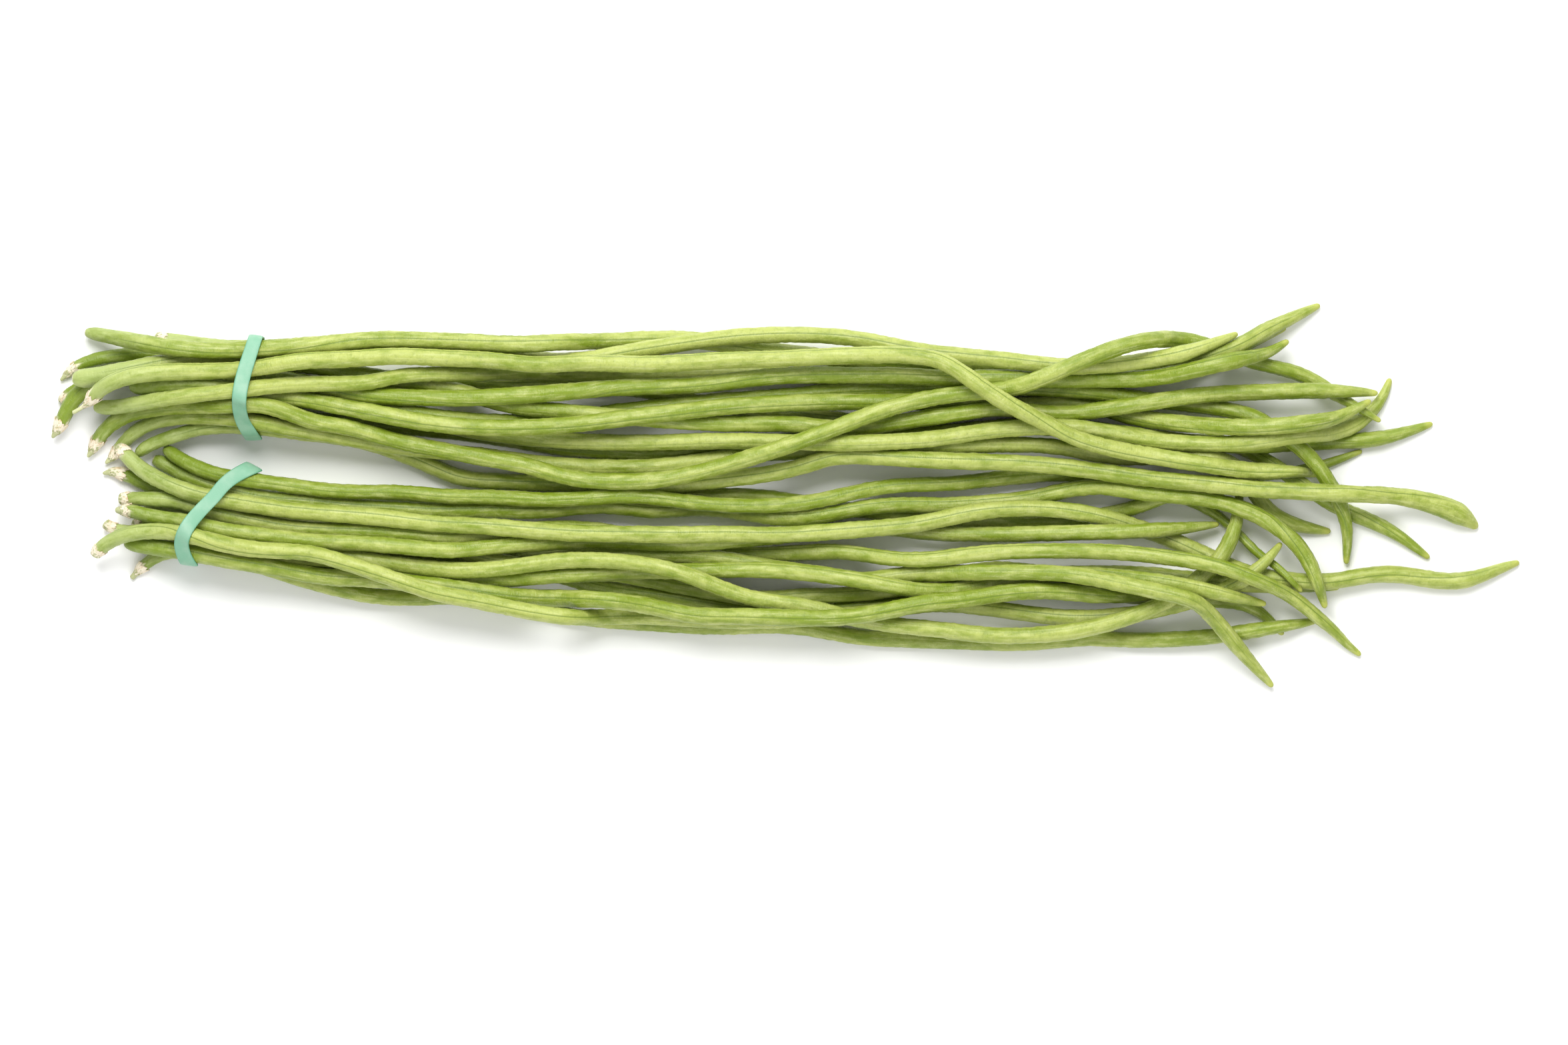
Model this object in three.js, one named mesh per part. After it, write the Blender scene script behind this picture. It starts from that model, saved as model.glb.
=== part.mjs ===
// A bunch of yardlong beans lying on a table: long round pods in two tied bundles whose stem ends
// meet on the left and whose tips fan out and cross on the right. Millimetres, +Z up.
// Each pod is one closed solid (pedicel, calyx and pod grew together) and each rubber band is one ring.
// +X runs along the pods from stems to tips, +Y across the bunch, the table is the plane z = 0.

import * as THREE from "three";

// Plan grid. Every pod's centre line is laid out on it as [x, y, layer]; y runs down the plan.
const GRID = 0.25; // mm per grid step
const GRID_Y = 744; // grid row that lies on y = 0 before the bunch is centred

// Pod section and ends
const SIDES = 7; // one flat side faces down, so that pods rest on flat strips
const FLAT = Math.cos(Math.PI / SIDES); // centre to flat, as a share of the corner radius
const CORNER = 1.02; // corner radius as a share of the pod's radius
const BODY_STEP_MAX = 19; // mm, longest step between sections
const CHORD_ERROR = 0.3; // mm, how far a straight step may leave the curved centre line
const BEND_SPAN = 3; // mm to each side of a point over which its bend is measured
const FINE_STEP = 0.5; // mm between the points of a smooth line
const TIP_LENGTH = 22; // mm over which a pod tapers to its beak
const TIP_CURVE = 0.62; // the taper's power; below 1 it is full first and thins late
const TIP_RADIUS = 0.8; // mm
const TAPER_SECTIONS = [1, 0.55, 0.25, 0.09]; // where the taper has sections, as shares of it left
const NECK_LENGTH = 12; // mm from the calyx to the full pod
const NECK_SECTION = 6; // mm behind the calyx where the neck has a section
const SHOULDER = 0.88; // pod radius at the calyx, as a share of the full radius
const CALYX_SECTION = 0.45; // where the calyx has a section, as a share of its length
const STALK_SECTION = 0.3; // mm from the cut end of a pedicel to its first section
const BLUNT_LENGTH = 4; // mm, rounded end of a pod whose calyx has dropped off
const BLUNT_SHARE = 0.95; // pod radius behind that end, as a share of the full radius
const BLUNT_FACE = 0.5; // least radius on that end, as a share of the full radius
const BLUNT_SECTIONS = [0.4, 1.6, BLUNT_LENGTH]; // mm
const END_STEP = 0.4; // mm from the last section to the tip

// Stacking
const GAP = 0.3; // mm kept between neighbours
const SAMPLE = 2; // mm between the points that are tested for contact
const DROP_ROUNDS = 420;
const CLEAR_ROUNDS = 600;
const FIRST_FALL = 0.35; // mm a round, slowing evenly to nothing
const LAST_FALL = 0.02; // mm a round, all through
const STRAIGHTEN = 0.3; // share of a pod's upright bend that is taken out in a round
const LAYER = 7.2; // mm, height of one layer before the bunch settles

// Rubber bands
const BAND_WIDTH = 6; // mm
const BAND_THICK = 1; // mm
const BAND_CLEAR = 0.35; // mm to the pods
const BAND_POINTS = 44; // sections round a loop
const BAND_BED = BAND_THICK + 2 * BAND_CLEAR; // height the pods are lifted where a band runs under them
const BAND_REACH = 5.2; // mm to each side of the band's line that is lifted
const BAND_MARGIN = 0.6; // mm beside the band where pods still push it out
const BAND_LOOK = 2; // mm along the band's line, both ways, over which its direction is taken
const RIM_POINTS = 24; // points round a pod that the band is laid over
const BED_EVERY = 4; // one in so many of the band line's points is tested for the bed
const NEAR_POINTS = 3; // points of a line, both ways, over which its direction is taken

const SKIN = { color: 0xa7c552, roughness: 0.55 };
const RUBBER = { color: 0x93d8b8, roughness: 0.6 };

// radius is a pod's full radius in mm. head is [pedicel length, pedicel radius, calyx length] in mm,
// and a pod without one has lost its calyx and ends round. tip is the length in mm of a taper that is
// shorter than usual. girth is [x on the grid, share of the radius] for a pod that is thinner or
// fuller in places. line is the centre line on the grid.
const PODS = [
  {
    name: "upper_pod_01", radius: 3.25,
    girth: [[128, 0.78], [165, 0.94], [200, 1]],
    line: [
      [128, 498, 3], [145, 501, 3], [165, 505, 3], [200, 512, 3], [250, 520, 3], [300, 526, 3],
      [350, 526, 3], [400, 523, 3], [450, 520, 3], [500, 516, 3], [550, 511, 3], [600, 510, 3],
      [700, 513, 3], [800, 517, 2.6], [835, 514, 2.3], [865, 513, 1.1], [900, 512, 0.9], [950, 510, 1],
      [1000, 509, 0.5], [1050, 511, 0.3], [1100, 518, 0.3], [1150, 526, 0.3], [1200, 530, 0.3],
      [1250, 537, 0.2], [1300, 541, 0.2], [1350, 545, 0.2], [1400, 549, 0.2], [1450, 553, 0.5],
      [1500, 555, 0.8], [1550, 556, 0.8], [1600, 559, 0.8], [1650, 558, 0.8], [1700, 555, 0.8],
      [1750, 549, 0.8], [1800, 537, 1], [1830, 529, 1.5], [1860, 517, 1.5], [1900, 495, 1.5],
      [1940, 475.5, 1.5], [1980, 457, 1],
    ],
  },
  {
    name: "upper_pod_02", radius: 3.25, head: [5.5, 0.8, 5], line: [
      [112, 620, 2.6], [126, 612, 2.8], [140, 600, 3], [150, 588, 3.2], [175, 573, 3.2], [200, 565, 3.2],
      [250, 559, 3.2], [300, 558, 3.2], [350, 556, 3.2], [400, 551, 3.2], [450, 543, 3.2],
      [500, 541, 3.2], [550, 537, 3.2], [600, 535, 3.2], [650, 537, 3.2], [700, 539, 3.2],
      [750, 542, 3.2], [800, 547, 3.2], [850, 546, 3.2], [900, 544, 3.2], [950, 547, 3], [1000, 546, 3],
      [1050, 542, 3], [1100, 541, 3], [1150, 539, 3], [1200, 537, 3], [1250, 535, 3], [1300, 533, 3],
      [1350, 533, 3], [1393, 538, 3.5], [1421, 547, 4], [1450, 566, 4.5], [1500, 600, 5], [1550, 626, 5],
      [1600, 652, 4.5], [1650, 669, 4], [1700, 679, 3.5], [1750, 688, 3], [1800, 696, 3],
      [1850, 703, 2.6], [1900, 707, 1.8], [1950, 708, 1.1], [1980, 712, 0.9],
    ],
  },
  {
    name: "upper_pod_03", radius: 3, line: [
      [142, 610, 2], [165, 611, 2.2], [200, 607, 2.4], [250, 600, 2.6], [300, 592, 2.8], [350, 587, 2.8],
      [380, 583, 2.8], [447, 577, 2.8], [488, 576, 2.8], [560, 573, 2.6], [600, 565, 2.4],
      [650, 562, 2.2], [700, 561, 1.9], [735, 560.3, 1.1], [750, 560, 1], [800, 558, 0.95],
      [850, 559, 0.85], [900, 562, 0.6], [950, 562, 0.5], [1000, 560, 0.5], [1050, 560, 0.3],
      [1100, 559, 0.3], [1150, 559, 0.15], [1200, 564, 0.08], [1300, 564, 0.08], [1400, 567, 0.08],
      [1500, 566, 0.08], [1600, 568, 0.08], [1700, 563, 0.2], [1800, 545, 0.5], [1850, 525, 0.6],
      [1890, 507, 0.7], [1929, 491, 0.6],
    ],
  },
  {
    name: "upper_pod_04", radius: 3.125,
    girth: [[111, 1.2], [140, 1.32], [200, 1.15], [260, 1]],
    line: [
      [111, 569, 1], [125, 568, 1], [150, 565, 1], [210, 553, 1.2], [250, 544, 1.2], [300, 537, 1.2],
      [350, 533, 1.2], [400, 532, 1.2], [500, 530, 1.2], [600, 526, 1.2], [700, 532, 1.2],
      [800, 538, 1.2], [835, 541, 1.3], [850, 541.5, 1.3], [865, 541, 1.7], [900, 535, 2], [950, 527, 2],
      [1000, 519, 2.3], [1050, 512, 2.3], [1100, 506, 2.3], [1150, 503, 2.3], [1200, 502, 2.3],
      [1250, 505, 2.3], [1300, 511, 2.3], [1350, 521, 2.2], [1400, 530, 2], [1450, 535, 2],
      [1500, 540, 2], [1550, 546, 2], [1600, 550, 2], [1650, 549, 2], [1700, 543, 2], [1750, 536, 2.2],
      [1800, 522, 2.4], [1830, 511, 2.4], [1854, 501, 2.2],
    ],
  },
  {
    name: "upper_pod_05", radius: 3.25, head: [1, 0.6, 6.5],
    girth: [[140, 0.95], [1860, 1], [1885, 0.82], [1960, 0.88], [2010, 0.8], [2065, 0.62]],
    line: [
      [132, 686, 1.2], [141, 671, 1.3], [150, 656, 1.4], [163, 641, 1.5], [180, 628, 1.9], [205, 619, 2],
      [240, 612, 2], [300, 609, 2.1], [342, 609, 2.2], [380, 607, 2.4], [423, 615, 2.9], [457, 628, 2.8],
      [480, 634, 2.8], [513, 639, 2.7], [560, 652, 2.6], [600, 662, 2.6], [650, 672, 2.6],
      [700, 683, 2.6], [750, 690, 2.6], [800, 701, 2.8], [850, 715, 3], [900, 721, 3], [950, 722, 3],
      [1000, 718, 3], [1050, 708, 3.2], [1100, 694, 3.5], [1150, 679, 3.8], [1200, 662, 4],
      [1250, 643, 4], [1300, 625, 4], [1350, 607, 3.8], [1400, 597, 3.6], [1450, 590, 3.4],
      [1490, 587, 3.4], [1525, 580, 3.6], [1550, 572, 3.8], [1600, 551, 3.8], [1650, 531, 3.6],
      [1700, 515, 3.2], [1725, 511, 2], [1750, 509, 1.4], [1775, 511, 0.7], [1800, 516, 0.7],
      [1840, 529, 0.7], [1880, 543, 0.7], [1920, 553, 0.7], [1960, 566, 0.8], [2000, 590, 1],
      [2030, 608, 1.3], [2055, 623, 1.5], [2070, 632, 1.4],
    ],
  },
  {
    name: "upper_pod_06", radius: 3.25, line: [
      [198, 580, 1], [215, 581, 1], [250, 578, 1], [300, 577, 1.2], [350, 585, 1.6], [397, 594, 1.9],
      [430, 597, 2.1], [472, 602, 2.3], [497, 607, 2.5], [530, 613, 2.6], [560, 618, 2.7],
      [600, 628, 2.9], [650, 635, 2.9], [700, 640, 2.9], [750, 642, 2.9], [800, 641, 2.9],
      [850, 638, 2.9], [900, 632, 2.9], [950, 626, 2.9], [1000, 620, 2.9], [1050, 615, 2.9],
      [1100, 609, 2.9], [1150, 606, 2.9], [1200, 604, 2.9], [1250, 603, 2.8], [1300, 603, 2.4],
      [1350, 603, 1.6], [1400, 604, 1.5], [1450, 609, 1.4], [1500, 611, 1], [1550, 607, 0.9],
      [1600, 605, 0.9], [1640, 609, 0.8], [1700, 625, 1.2], [1750, 633, 1.8], [1800, 637, 2.2],
      [1850, 641, 2.4], [1900, 640, 2.5], [1950, 636, 2.4], [2000, 627, 2.4], [2030, 614, 2.6],
      [2055, 601, 2.6],
    ],
  },
  {
    name: "upper_pod_07", radius: 3.25, head: [1, 0.6, 6], line: [
      [79, 657, 0.5], [88, 643, 0.5], [96, 628, 0.6], [106, 608, 0.7], [118, 592, 0.8], [135, 578, 0.8],
      [160, 569, 0.7], [200, 566, 0.6], [250, 568, 0.5], [300, 570, 0.4], [350, 569, 0.4],
      [400, 568, 0.4], [450, 573, 0.6], [500, 584, 1], [550, 593, 1.3], [600, 595, 1.6], [650, 598, 1.6],
      [680, 598, 1.6], [750, 595, 1.6], [800, 592, 1.6], [850, 588, 1.6], [900, 584, 1.6],
      [950, 580, 1.6], [1000, 580, 1.6], [1050, 577, 1.6], [1100, 571, 1.6], [1150, 566, 1.6],
      [1200, 563, 1.6], [1250, 563, 1.6], [1300, 563, 1.6], [1350, 564, 1.6], [1400, 567, 1.6],
      [1450, 568, 1.6], [1500, 567, 1.7], [1550, 569, 1.6], [1600, 570, 1.5], [1650, 569, 1.5],
      [1700, 569, 1.5], [1750, 563, 1.6], [1800, 553, 1.8], [1850, 541, 2], [1900, 529, 2],
      [1932, 511, 1.8],
    ],
  },
  {
    name: "upper_pod_08", radius: 3.125, head: [0.3, 1.5, 4], line: [
      [92, 606, 0.1], [98, 598, 0.1], [112, 588, 0.1], [135, 577, 0.1], [160, 571, 0.1], [200, 567, 0.1],
      [250, 560, 0.15], [300, 552, 0.18], [350, 546, 0.2], [400, 544, 0.2], [450, 547, 0.2],
      [500, 554, 0.22], [560, 564, 0.3], [620, 573, 0.5], [660, 580, 0.7], [700, 590, 0.8],
      [740, 602, 0.8], [780, 611, 0.8], [832, 616, 0.9], [880, 620, 0.9], [920, 625, 0.9],
      [966, 628, 0.9], [1000, 630, 1], [1060, 635, 1.2], [1100, 636, 1.4], [1150, 635, 1.6],
      [1200, 637, 1.6], [1250, 642, 1.6], [1300, 641, 1.6], [1350, 633, 1.8], [1400, 626, 2],
      [1450, 618, 2], [1490, 613, 2], [1530, 615, 2], [1570, 620, 2.2], [1600, 620, 2.4],
      [1640, 616, 2.6], [1650, 615, 2.8], [1700, 606, 2.8], [1750, 601, 2.8], [1800, 592, 2.8],
      [1850, 590, 2.6], [1900, 588, 2.4], [1950, 586, 2.4], [2000, 587, 2.4], [2040, 588, 2.2],
      [2066, 590, 2],
    ],
  },
  {
    name: "upper_pod_09", radius: 3, head: [1, 0.6, 7],
    girth: [[91, 0.82], [130, 0.86], [180, 0.92], [240, 1]],
    line: [
      [91, 571, 0.9], [100, 562, 0.9], [110, 553, 0.9], [130, 543, 0.9], [150, 538, 0.9], [180, 533, 0.9],
      [210, 531, 0.6], [240, 532.5, 0.05], [250, 533, 0.05], [300, 546, 0.05], [350, 566, 0.04],
      [400, 586, 0.1], [450, 596, 0.2], [500, 603, 0.25], [550, 610, 0.25], [600, 617, 0.25],
      [700, 630, 0.2], [800, 632.5, 0.2], [820, 631, 0.2], [850, 628, 0.2], [904, 620, 0.3],
      [950, 614, 0.4], [1000, 609, 0.5], [1050, 604, 0.6], [1100, 599, 0.8], [1150, 596, 1],
      [1190, 593, 1.2], [1230, 588, 1.2], [1280, 585, 1.1], [1350, 583, 1], [1400, 582, 1],
      [1450, 580, 1], [1500, 580, 1.2], [1560, 583, 1.4], [1600, 584, 1.4], [1650, 590, 1.4],
      [1700, 597, 1.2], [1750, 603, 1], [1800, 609, 1], [1850, 617, 1], [1885, 628, 0.9], [1915, 648, 1],
      [1945, 668, 1.3], [1965, 690, 1.5], [1988, 718, 1.6], [2003, 745, 1.4], [2014, 770, 1.2],
      [2020, 800, 0.8], [2019, 846, 0.6],
    ],
  },
  {
    name: "upper_pod_10", radius: 3.125, head: [0.3, 1.4, 4],
    girth: [[232, 0.9], [300, 1]],
    line: [
      [232, 504, 0.8], [243, 507, 0.8], [270, 512, 0.7], [300, 517, 0.6], [345, 522, 0.08],
      [390, 523, 0.1], [450, 537, 0.1], [500, 558, 0.1], [560, 592, 0.1], [600, 612, 0.1],
      [650, 630, 0.1], [700, 644, 0.1], [733, 650, 0.1], [782, 656, 0.14], [820, 659.5, 0.16],
      [838, 661, 0.4], [850, 661.5, 0.8], [900, 663, 1.6], [950, 664, 2], [1000, 663, 2], [1050, 662, 2],
      [1100, 662, 2], [1150, 661, 2], [1200, 664, 2], [1250, 665, 2], [1300, 664, 2.2], [1350, 662, 2.4],
      [1400, 658, 2.6], [1450, 650, 2.8], [1500, 645, 2.8], [1550, 641, 2.8], [1600, 641, 2.8],
      [1640, 645, 2.4], [1700, 656, 2.4], [1750, 663, 2.4], [1800, 665, 2.1], [1850, 666, 2],
      [1900, 660, 2], [1950, 653, 1.9], [2000, 648, 1.6], [2030, 637, 1.2], [2050, 625, 0.9],
      [2066, 606, 0.7], [2078, 586, 0.6], [2085, 567, 0.5],
    ],
  },
  {
    name: "upper_pod_11", radius: 3.125, tip: 9,
    girth: [
      [230, 0.85], [330, 0.85], [420, 1], [2080, 1.05], [2130, 1.2], [2170, 1.42], [2195, 1.4],
      [2216, 1.1],
    ],
    line: [
      [205, 683, 1.3], [212, 676, 1.3], [230, 667, 1.3], [250, 658, 1], [270, 652, 1.2],
      [300, 643.5, 1.3], [350, 640, 1.3], [393, 641, 1.2], [423, 645, 1.2], [455, 650, 1.2],
      [485, 652, 1.2], [513, 656, 1.2], [560, 665, 1.1], [616, 687, 1.1], [650, 700, 1], [684, 714, 1],
      [738, 721, 1], [782, 724, 1], [849, 724, 0.9], [900, 729, 0.9], [950, 733, 0.9], [1000, 729, 0.9],
      [1050, 723, 0.9], [1100, 717, 0.9], [1150, 711, 1], [1200, 700, 1], [1250, 686, 1], [1300, 685, 1],
      [1350, 688, 1], [1400, 690, 1.1], [1450, 692, 1.2], [1500, 693, 1.4], [1550, 697, 1.6],
      [1600, 701, 1.8], [1650, 708, 2], [1700, 714, 2], [1750, 721, 2], [1800, 725, 2.2],
      [1850, 731, 2.2], [1900, 735, 2.2], [1950, 737, 2.2], [2000, 740, 2.2], [2050, 742, 2.2],
      [2100, 745, 2.2], [2150, 756, 2], [2182, 768, 1.8], [2203, 781, 1.6], [2216, 792, 1.4],
    ],
  },
  {
    name: "upper_pod_12", radius: 3, head: [1, 0.6, 6], tip: 15,
    girth: [[170, 0.9], [260, 0.95], [330, 1]],
    line: [
      [158, 695, 1], [170, 684, 1.2], [181, 670, 1.4], [195, 655, 1.5], [213, 642, 1.6], [240, 631, 1.7],
      [280, 626, 1.8], [320, 626, 1.8], [355, 629, 1.8], [385, 633, 1.6], [400, 635, 1.4],
      [450, 646, 1.4], [500, 654, 1.4], [550, 663, 1.4], [600, 671, 1.3], [650, 676, 1.2],
      [700, 680, 1.2], [750, 686, 1], [804, 694, 1], [850, 698, 1], [900, 700, 1], [950, 700, 1],
      [1000, 698, 1], [1050, 691, 1], [1100, 684, 1], [1150, 680, 0.9], [1200, 679, 0.8],
      [1250, 677, 0.8], [1300, 677, 0.8], [1350, 675, 0.8], [1400, 669, 0.8], [1450, 668, 1],
      [1500, 667, 1.2], [1560, 668, 1.2], [1600, 673, 1.2], [1640, 681, 1.2], [1680, 686, 1],
      [1730, 686, 0.9], [1780, 684, 0.9], [1830, 690, 0.9], [1860, 706, 0.9], [1880, 738, 0.8],
      [1900, 763, 0.7], [1935, 784, 0.6], [1970, 793, 0.5], [1996, 797, 0.4],
    ],
  },
  {
    name: "upper_pod_13", radius: 3, line: [
      [335, 633, 0], [400, 628, 0], [500, 632, 0], [600, 640, 0], [700, 650, 0], [750, 658, 0],
      [800, 665, 0], [830, 669.8, 0], [850, 673, 0.1], [870, 674.2, 0.5], [900, 676, 0.6],
      [950, 680, 0.7], [1000, 679, 0.7], [1050, 674, 0.6], [1100, 668, 0.4], [1200, 660, 0.3],
      [1300, 655, 0.3], [1400, 650, 0.3], [1500, 641, 0.3], [1600, 640, 0.3], [1700, 652, 0.3],
      [1800, 664, 0.3], [1850, 668, 0.4], [1900, 668, 0.5], [1950, 665, 0.6], [2000, 662, 0.6],
      [2050, 660, 0.6], [2100, 650, 0.5], [2149, 635, 0.4],
    ],
  },
  {
    name: "upper_pod_14", radius: 2.875, line: [
      [335, 607, 0], [400, 606, 0], [450, 600, 0], [500, 588, 0], [550, 578, 0], [600, 573, 0.02],
      [680, 573, 0.4], [750, 577, 0.7], [800, 576, 0.7], [850, 577, 0.6], [900, 581, 0.3],
      [950, 584, 0.2], [985, 590, 0.1], [1050, 603, 0.1], [1100, 612, 0.1], [1150, 618, 0.1],
      [1200, 622, 0.1], [1250, 628, 0.1], [1300, 634, 0.1], [1350, 641, 0.1], [1400, 646, 0.1],
      [1450, 645, 0.1], [1500, 640, 0.1], [1600, 645, 0.1], [1650, 652, 0.1], [1700, 660, 0.1],
      [1750, 664, 0.1], [1800, 662, 0.1], [1840, 665, 0.2], [1880, 680, 0.3], [1910, 698, 0.4],
      [1945, 722, 0.4], [1975, 742, 0.5], [2010, 762, 0.5], [2060, 783, 0.5], [2100, 805, 0.5],
      [2144, 837, 0.4],
    ],
  },
  {
    name: "lower_pod_01", radius: 2.875,
    girth: [[1700, 1], [1780, 0.85], [1840, 0.62], [1900, 0.6], [1951, 0.7]],
    line: [
      [248, 672, 0.8], [258, 679, 1], [270, 688, 1], [300, 702, 1.2], [330, 712, 1.4], [380, 720, 1.6],
      [400, 723, 1.6], [450, 731, 1.6], [500, 735, 1.6], [550, 738, 1.6], [600, 738, 1.6],
      [650, 743, 1.6], [700, 745, 1.6], [750, 746, 1.5], [800, 749, 1.5], [850, 749, 1.4],
      [900, 746, 1.4], [950, 744, 1.4], [1000, 749, 1.4], [1050, 755, 1.6], [1100, 758, 1.8],
      [1150, 758, 2], [1200, 755, 2], [1250, 745, 2], [1300, 735, 1.8], [1350, 728, 1.6],
      [1400, 726, 1.4], [1450, 724, 1.2], [1500, 717, 1], [1550, 713, 0.8], [1600, 711, 0.5],
      [1650, 719, 0.3], [1700, 731, 0.3], [1750, 741, 0.3], [1780, 749, 0.3], [1800, 757, 0.4],
      [1825, 773, 0.5], [1845, 789, 0.5], [1861, 804, 0.6], [1882, 826, 0.6], [1907, 843, 0.7],
      [1922, 858, 0.8], [1938, 873, 0.8], [1951, 887, 0.7],
    ],
  },
  {
    name: "lower_pod_02", radius: 3.125, tip: 17, line: [
      [229, 688, 0.6], [240, 692, 0.6], [255, 702, 0.7], [280, 713, 0.9], [310, 724, 1.1],
      [330, 731, 1.2], [400, 747, 1.2], [450, 751, 1.2], [500, 757, 1], [550, 759, 1], [600, 763, 1],
      [650, 766, 1], [700, 765, 1], [750, 765, 1], [800, 766, 0.9], [850, 762, 0.8], [900, 758, 0.7],
      [950, 762, 0.7], [975, 765, 0.75], [1000, 764, 0.8], [1050, 762.5, 1], [1100, 766, 1.2],
      [1150, 774, 1.4], [1200, 776, 1.6], [1250, 769, 1.8], [1300, 761, 1.8], [1350, 757, 1.8],
      [1400, 758, 1.6], [1450, 757, 1.4], [1500, 752, 1.3], [1550, 746, 1.3], [1600, 735, 1.4],
      [1650, 730, 1.6], [1700, 737, 1.7], [1750, 743, 1.8], [1800, 747, 2], [1850, 759, 2.2],
      [1880, 771, 2.2], [1900, 782, 2.2], [1930, 803, 2], [1950, 825, 1.8], [1965, 850, 1.7],
      [1977, 880, 1.6], [1987, 912, 1.5],
    ],
  },
  {
    name: "lower_pod_03", radius: 3.25, head: [0.3, 1.5, 4], line: [
      [176, 667, 2.8], [185, 676, 3], [200, 692, 3], [220, 707, 3], [250, 724, 3], [280, 736, 3],
      [310, 744, 3], [350, 752, 3], [400, 760, 3], [450, 766, 3], [500, 770, 3], [550, 774, 3],
      [600, 779, 3], [650, 785, 3], [700, 787, 3], [750, 792, 3], [800, 795, 3], [850, 799, 3],
      [900, 800, 3], [950, 801, 3], [1000, 802, 3], [1050, 801, 3], [1100, 801, 3], [1150, 802, 3],
      [1200, 800, 3], [1250, 797, 3], [1300, 793, 3], [1350, 789, 3], [1400, 781, 3], [1450, 770, 3],
      [1500, 764, 3], [1550, 762, 3], [1600, 766, 2.6], [1650, 775, 1.8], [1690, 785, 1.5],
      [1730, 800, 1], [1770, 816, 0.8], [1800, 828, 0.7], [1840, 848, 0.6], [1880, 862, 0.6],
      [1930, 870, 0.6], [2000, 871, 0.8], [2050, 863, 0.9], [2100, 862, 1], [2150, 869, 1],
      [2175, 872, 1], [2200, 869, 1], [2230, 860, 0.9], [2260, 849, 0.8], [2279, 843, 0.7],
    ],
  },
  {
    name: "lower_pod_04", radius: 2.875, head: [1, 0.6, 7],
    girth: [[1700, 1], [1760, 0.9], [1900, 0.8], [2043, 0.75]],
    line: [
      [154, 710, 0.6], [165, 708, 0.7], [180, 709, 0.8], [210, 722, 0.8], [240, 735, 0.8],
      [300, 748, 0.6], [350, 750, 0.4], [400, 748, 0.3], [500, 748, 0.3], [600, 750, 0.3],
      [700, 752, 0.3], [800, 752, 0.3], [900, 748, 0.3], [950, 744, 0.4], [1000, 743, 0.4],
      [1050, 743, 0.5], [1100, 743, 0.5], [1150, 745, 0.6], [1200, 753, 0.6], [1250, 761, 0.6],
      [1300, 766, 0.6], [1350, 772, 0.7], [1400, 777, 0.8], [1450, 781, 0.9], [1500, 782, 0.9],
      [1550, 782, 0.9], [1600, 781, 0.8], [1640, 775, 0.7], [1670, 769, 0.8], [1700, 760, 0.8],
      [1720, 755, 0.72], [1750, 742.5, 0.6], [1800, 727, 0.5], [1850, 719, 0.4], [1900, 712, 0.2],
      [1950, 706, 0.2], [1990, 695, 0.3], [2043, 676, 0.3],
    ],
  },
  {
    name: "lower_pod_05", radius: 3, head: [0.3, 1.8, 4],
    girth: [[1850, 1], [1950, 0.88], [2041, 0.85]],
    line: [
      [178, 748, 1.5], [187, 748, 1.5], [200, 748, 1.5], [240, 749, 1.5], [280, 755, 1.5],
      [310, 765, 1.5], [350, 774, 1.6], [400, 786, 1.7], [450, 793, 1.7], [500, 796, 1.6],
      [550, 797, 1.6], [600, 801, 1.5], [650, 805, 1.5], [700, 805, 1.4], [740, 802, 1.2],
      [780, 797, 0.9], [830, 792, 0.8], [870, 793, 0.8], [910, 797, 0.8], [940, 803, 0.6],
      [970, 812, 0.5], [1000, 820, 0.5], [1050, 828, 0.5], [1100, 831, 0.5], [1150, 831, 0.5],
      [1190, 829.4, 0.55], [1200, 829, 0.6], [1230, 827.8, 1.2], [1250, 827, 1.3], [1300, 833, 1.5],
      [1350, 838, 1.6], [1400, 838, 1.8], [1450, 832, 2], [1500, 828, 2], [1550, 826, 2], [1600, 826, 2],
      [1650, 827, 2], [1700, 830, 2], [1750, 836, 2], [1800, 843, 2], [1850, 857, 2], [1900, 877, 1.5],
      [1950, 904, 1.1], [1975, 925, 0.95], [2000, 946, 0.8], [2020, 966, 0.7], [2041, 983, 0.6],
    ],
  },
  {
    name: "lower_pod_06", radius: 3, head: [0.4, 1, 5.5], line: [
      [174, 765, 2.2], [183, 765, 2.3], [196, 766, 2.4], [220, 772, 2.4], [250, 777, 2.4],
      [280, 782, 2.4], [310, 790, 2.4], [350, 796, 2.4], [400, 803, 2.4], [450, 809, 2.4],
      [500, 814, 2.2], [550, 815, 2], [600, 819, 2], [650, 824, 2], [700, 824, 2], [750, 819, 2],
      [800, 816, 2], [850, 813, 1.8], [900, 811, 1.8], [950, 813, 1.8], [1000, 814, 1.8],
      [1050, 814, 1.8], [1100, 811, 1.6], [1150, 806, 1.2], [1200, 801, 1], [1250, 796, 0.9],
      [1300, 792, 0.9], [1350, 793, 1], [1400, 800, 1.4], [1450, 801, 1.8], [1500, 801, 2],
      [1550, 801, 2], [1600, 799, 2.2], [1650, 798, 2.3], [1700, 796, 2.4], [1750, 794, 2.4],
      [1800, 789, 2.2], [1828, 786, 2],
    ],
  },
  {
    name: "lower_pod_07", radius: 3.125, head: [0.3, 1.8, 4.5],
    girth: [[157, 0.72], [200, 0.75], [280, 1]],
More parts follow.
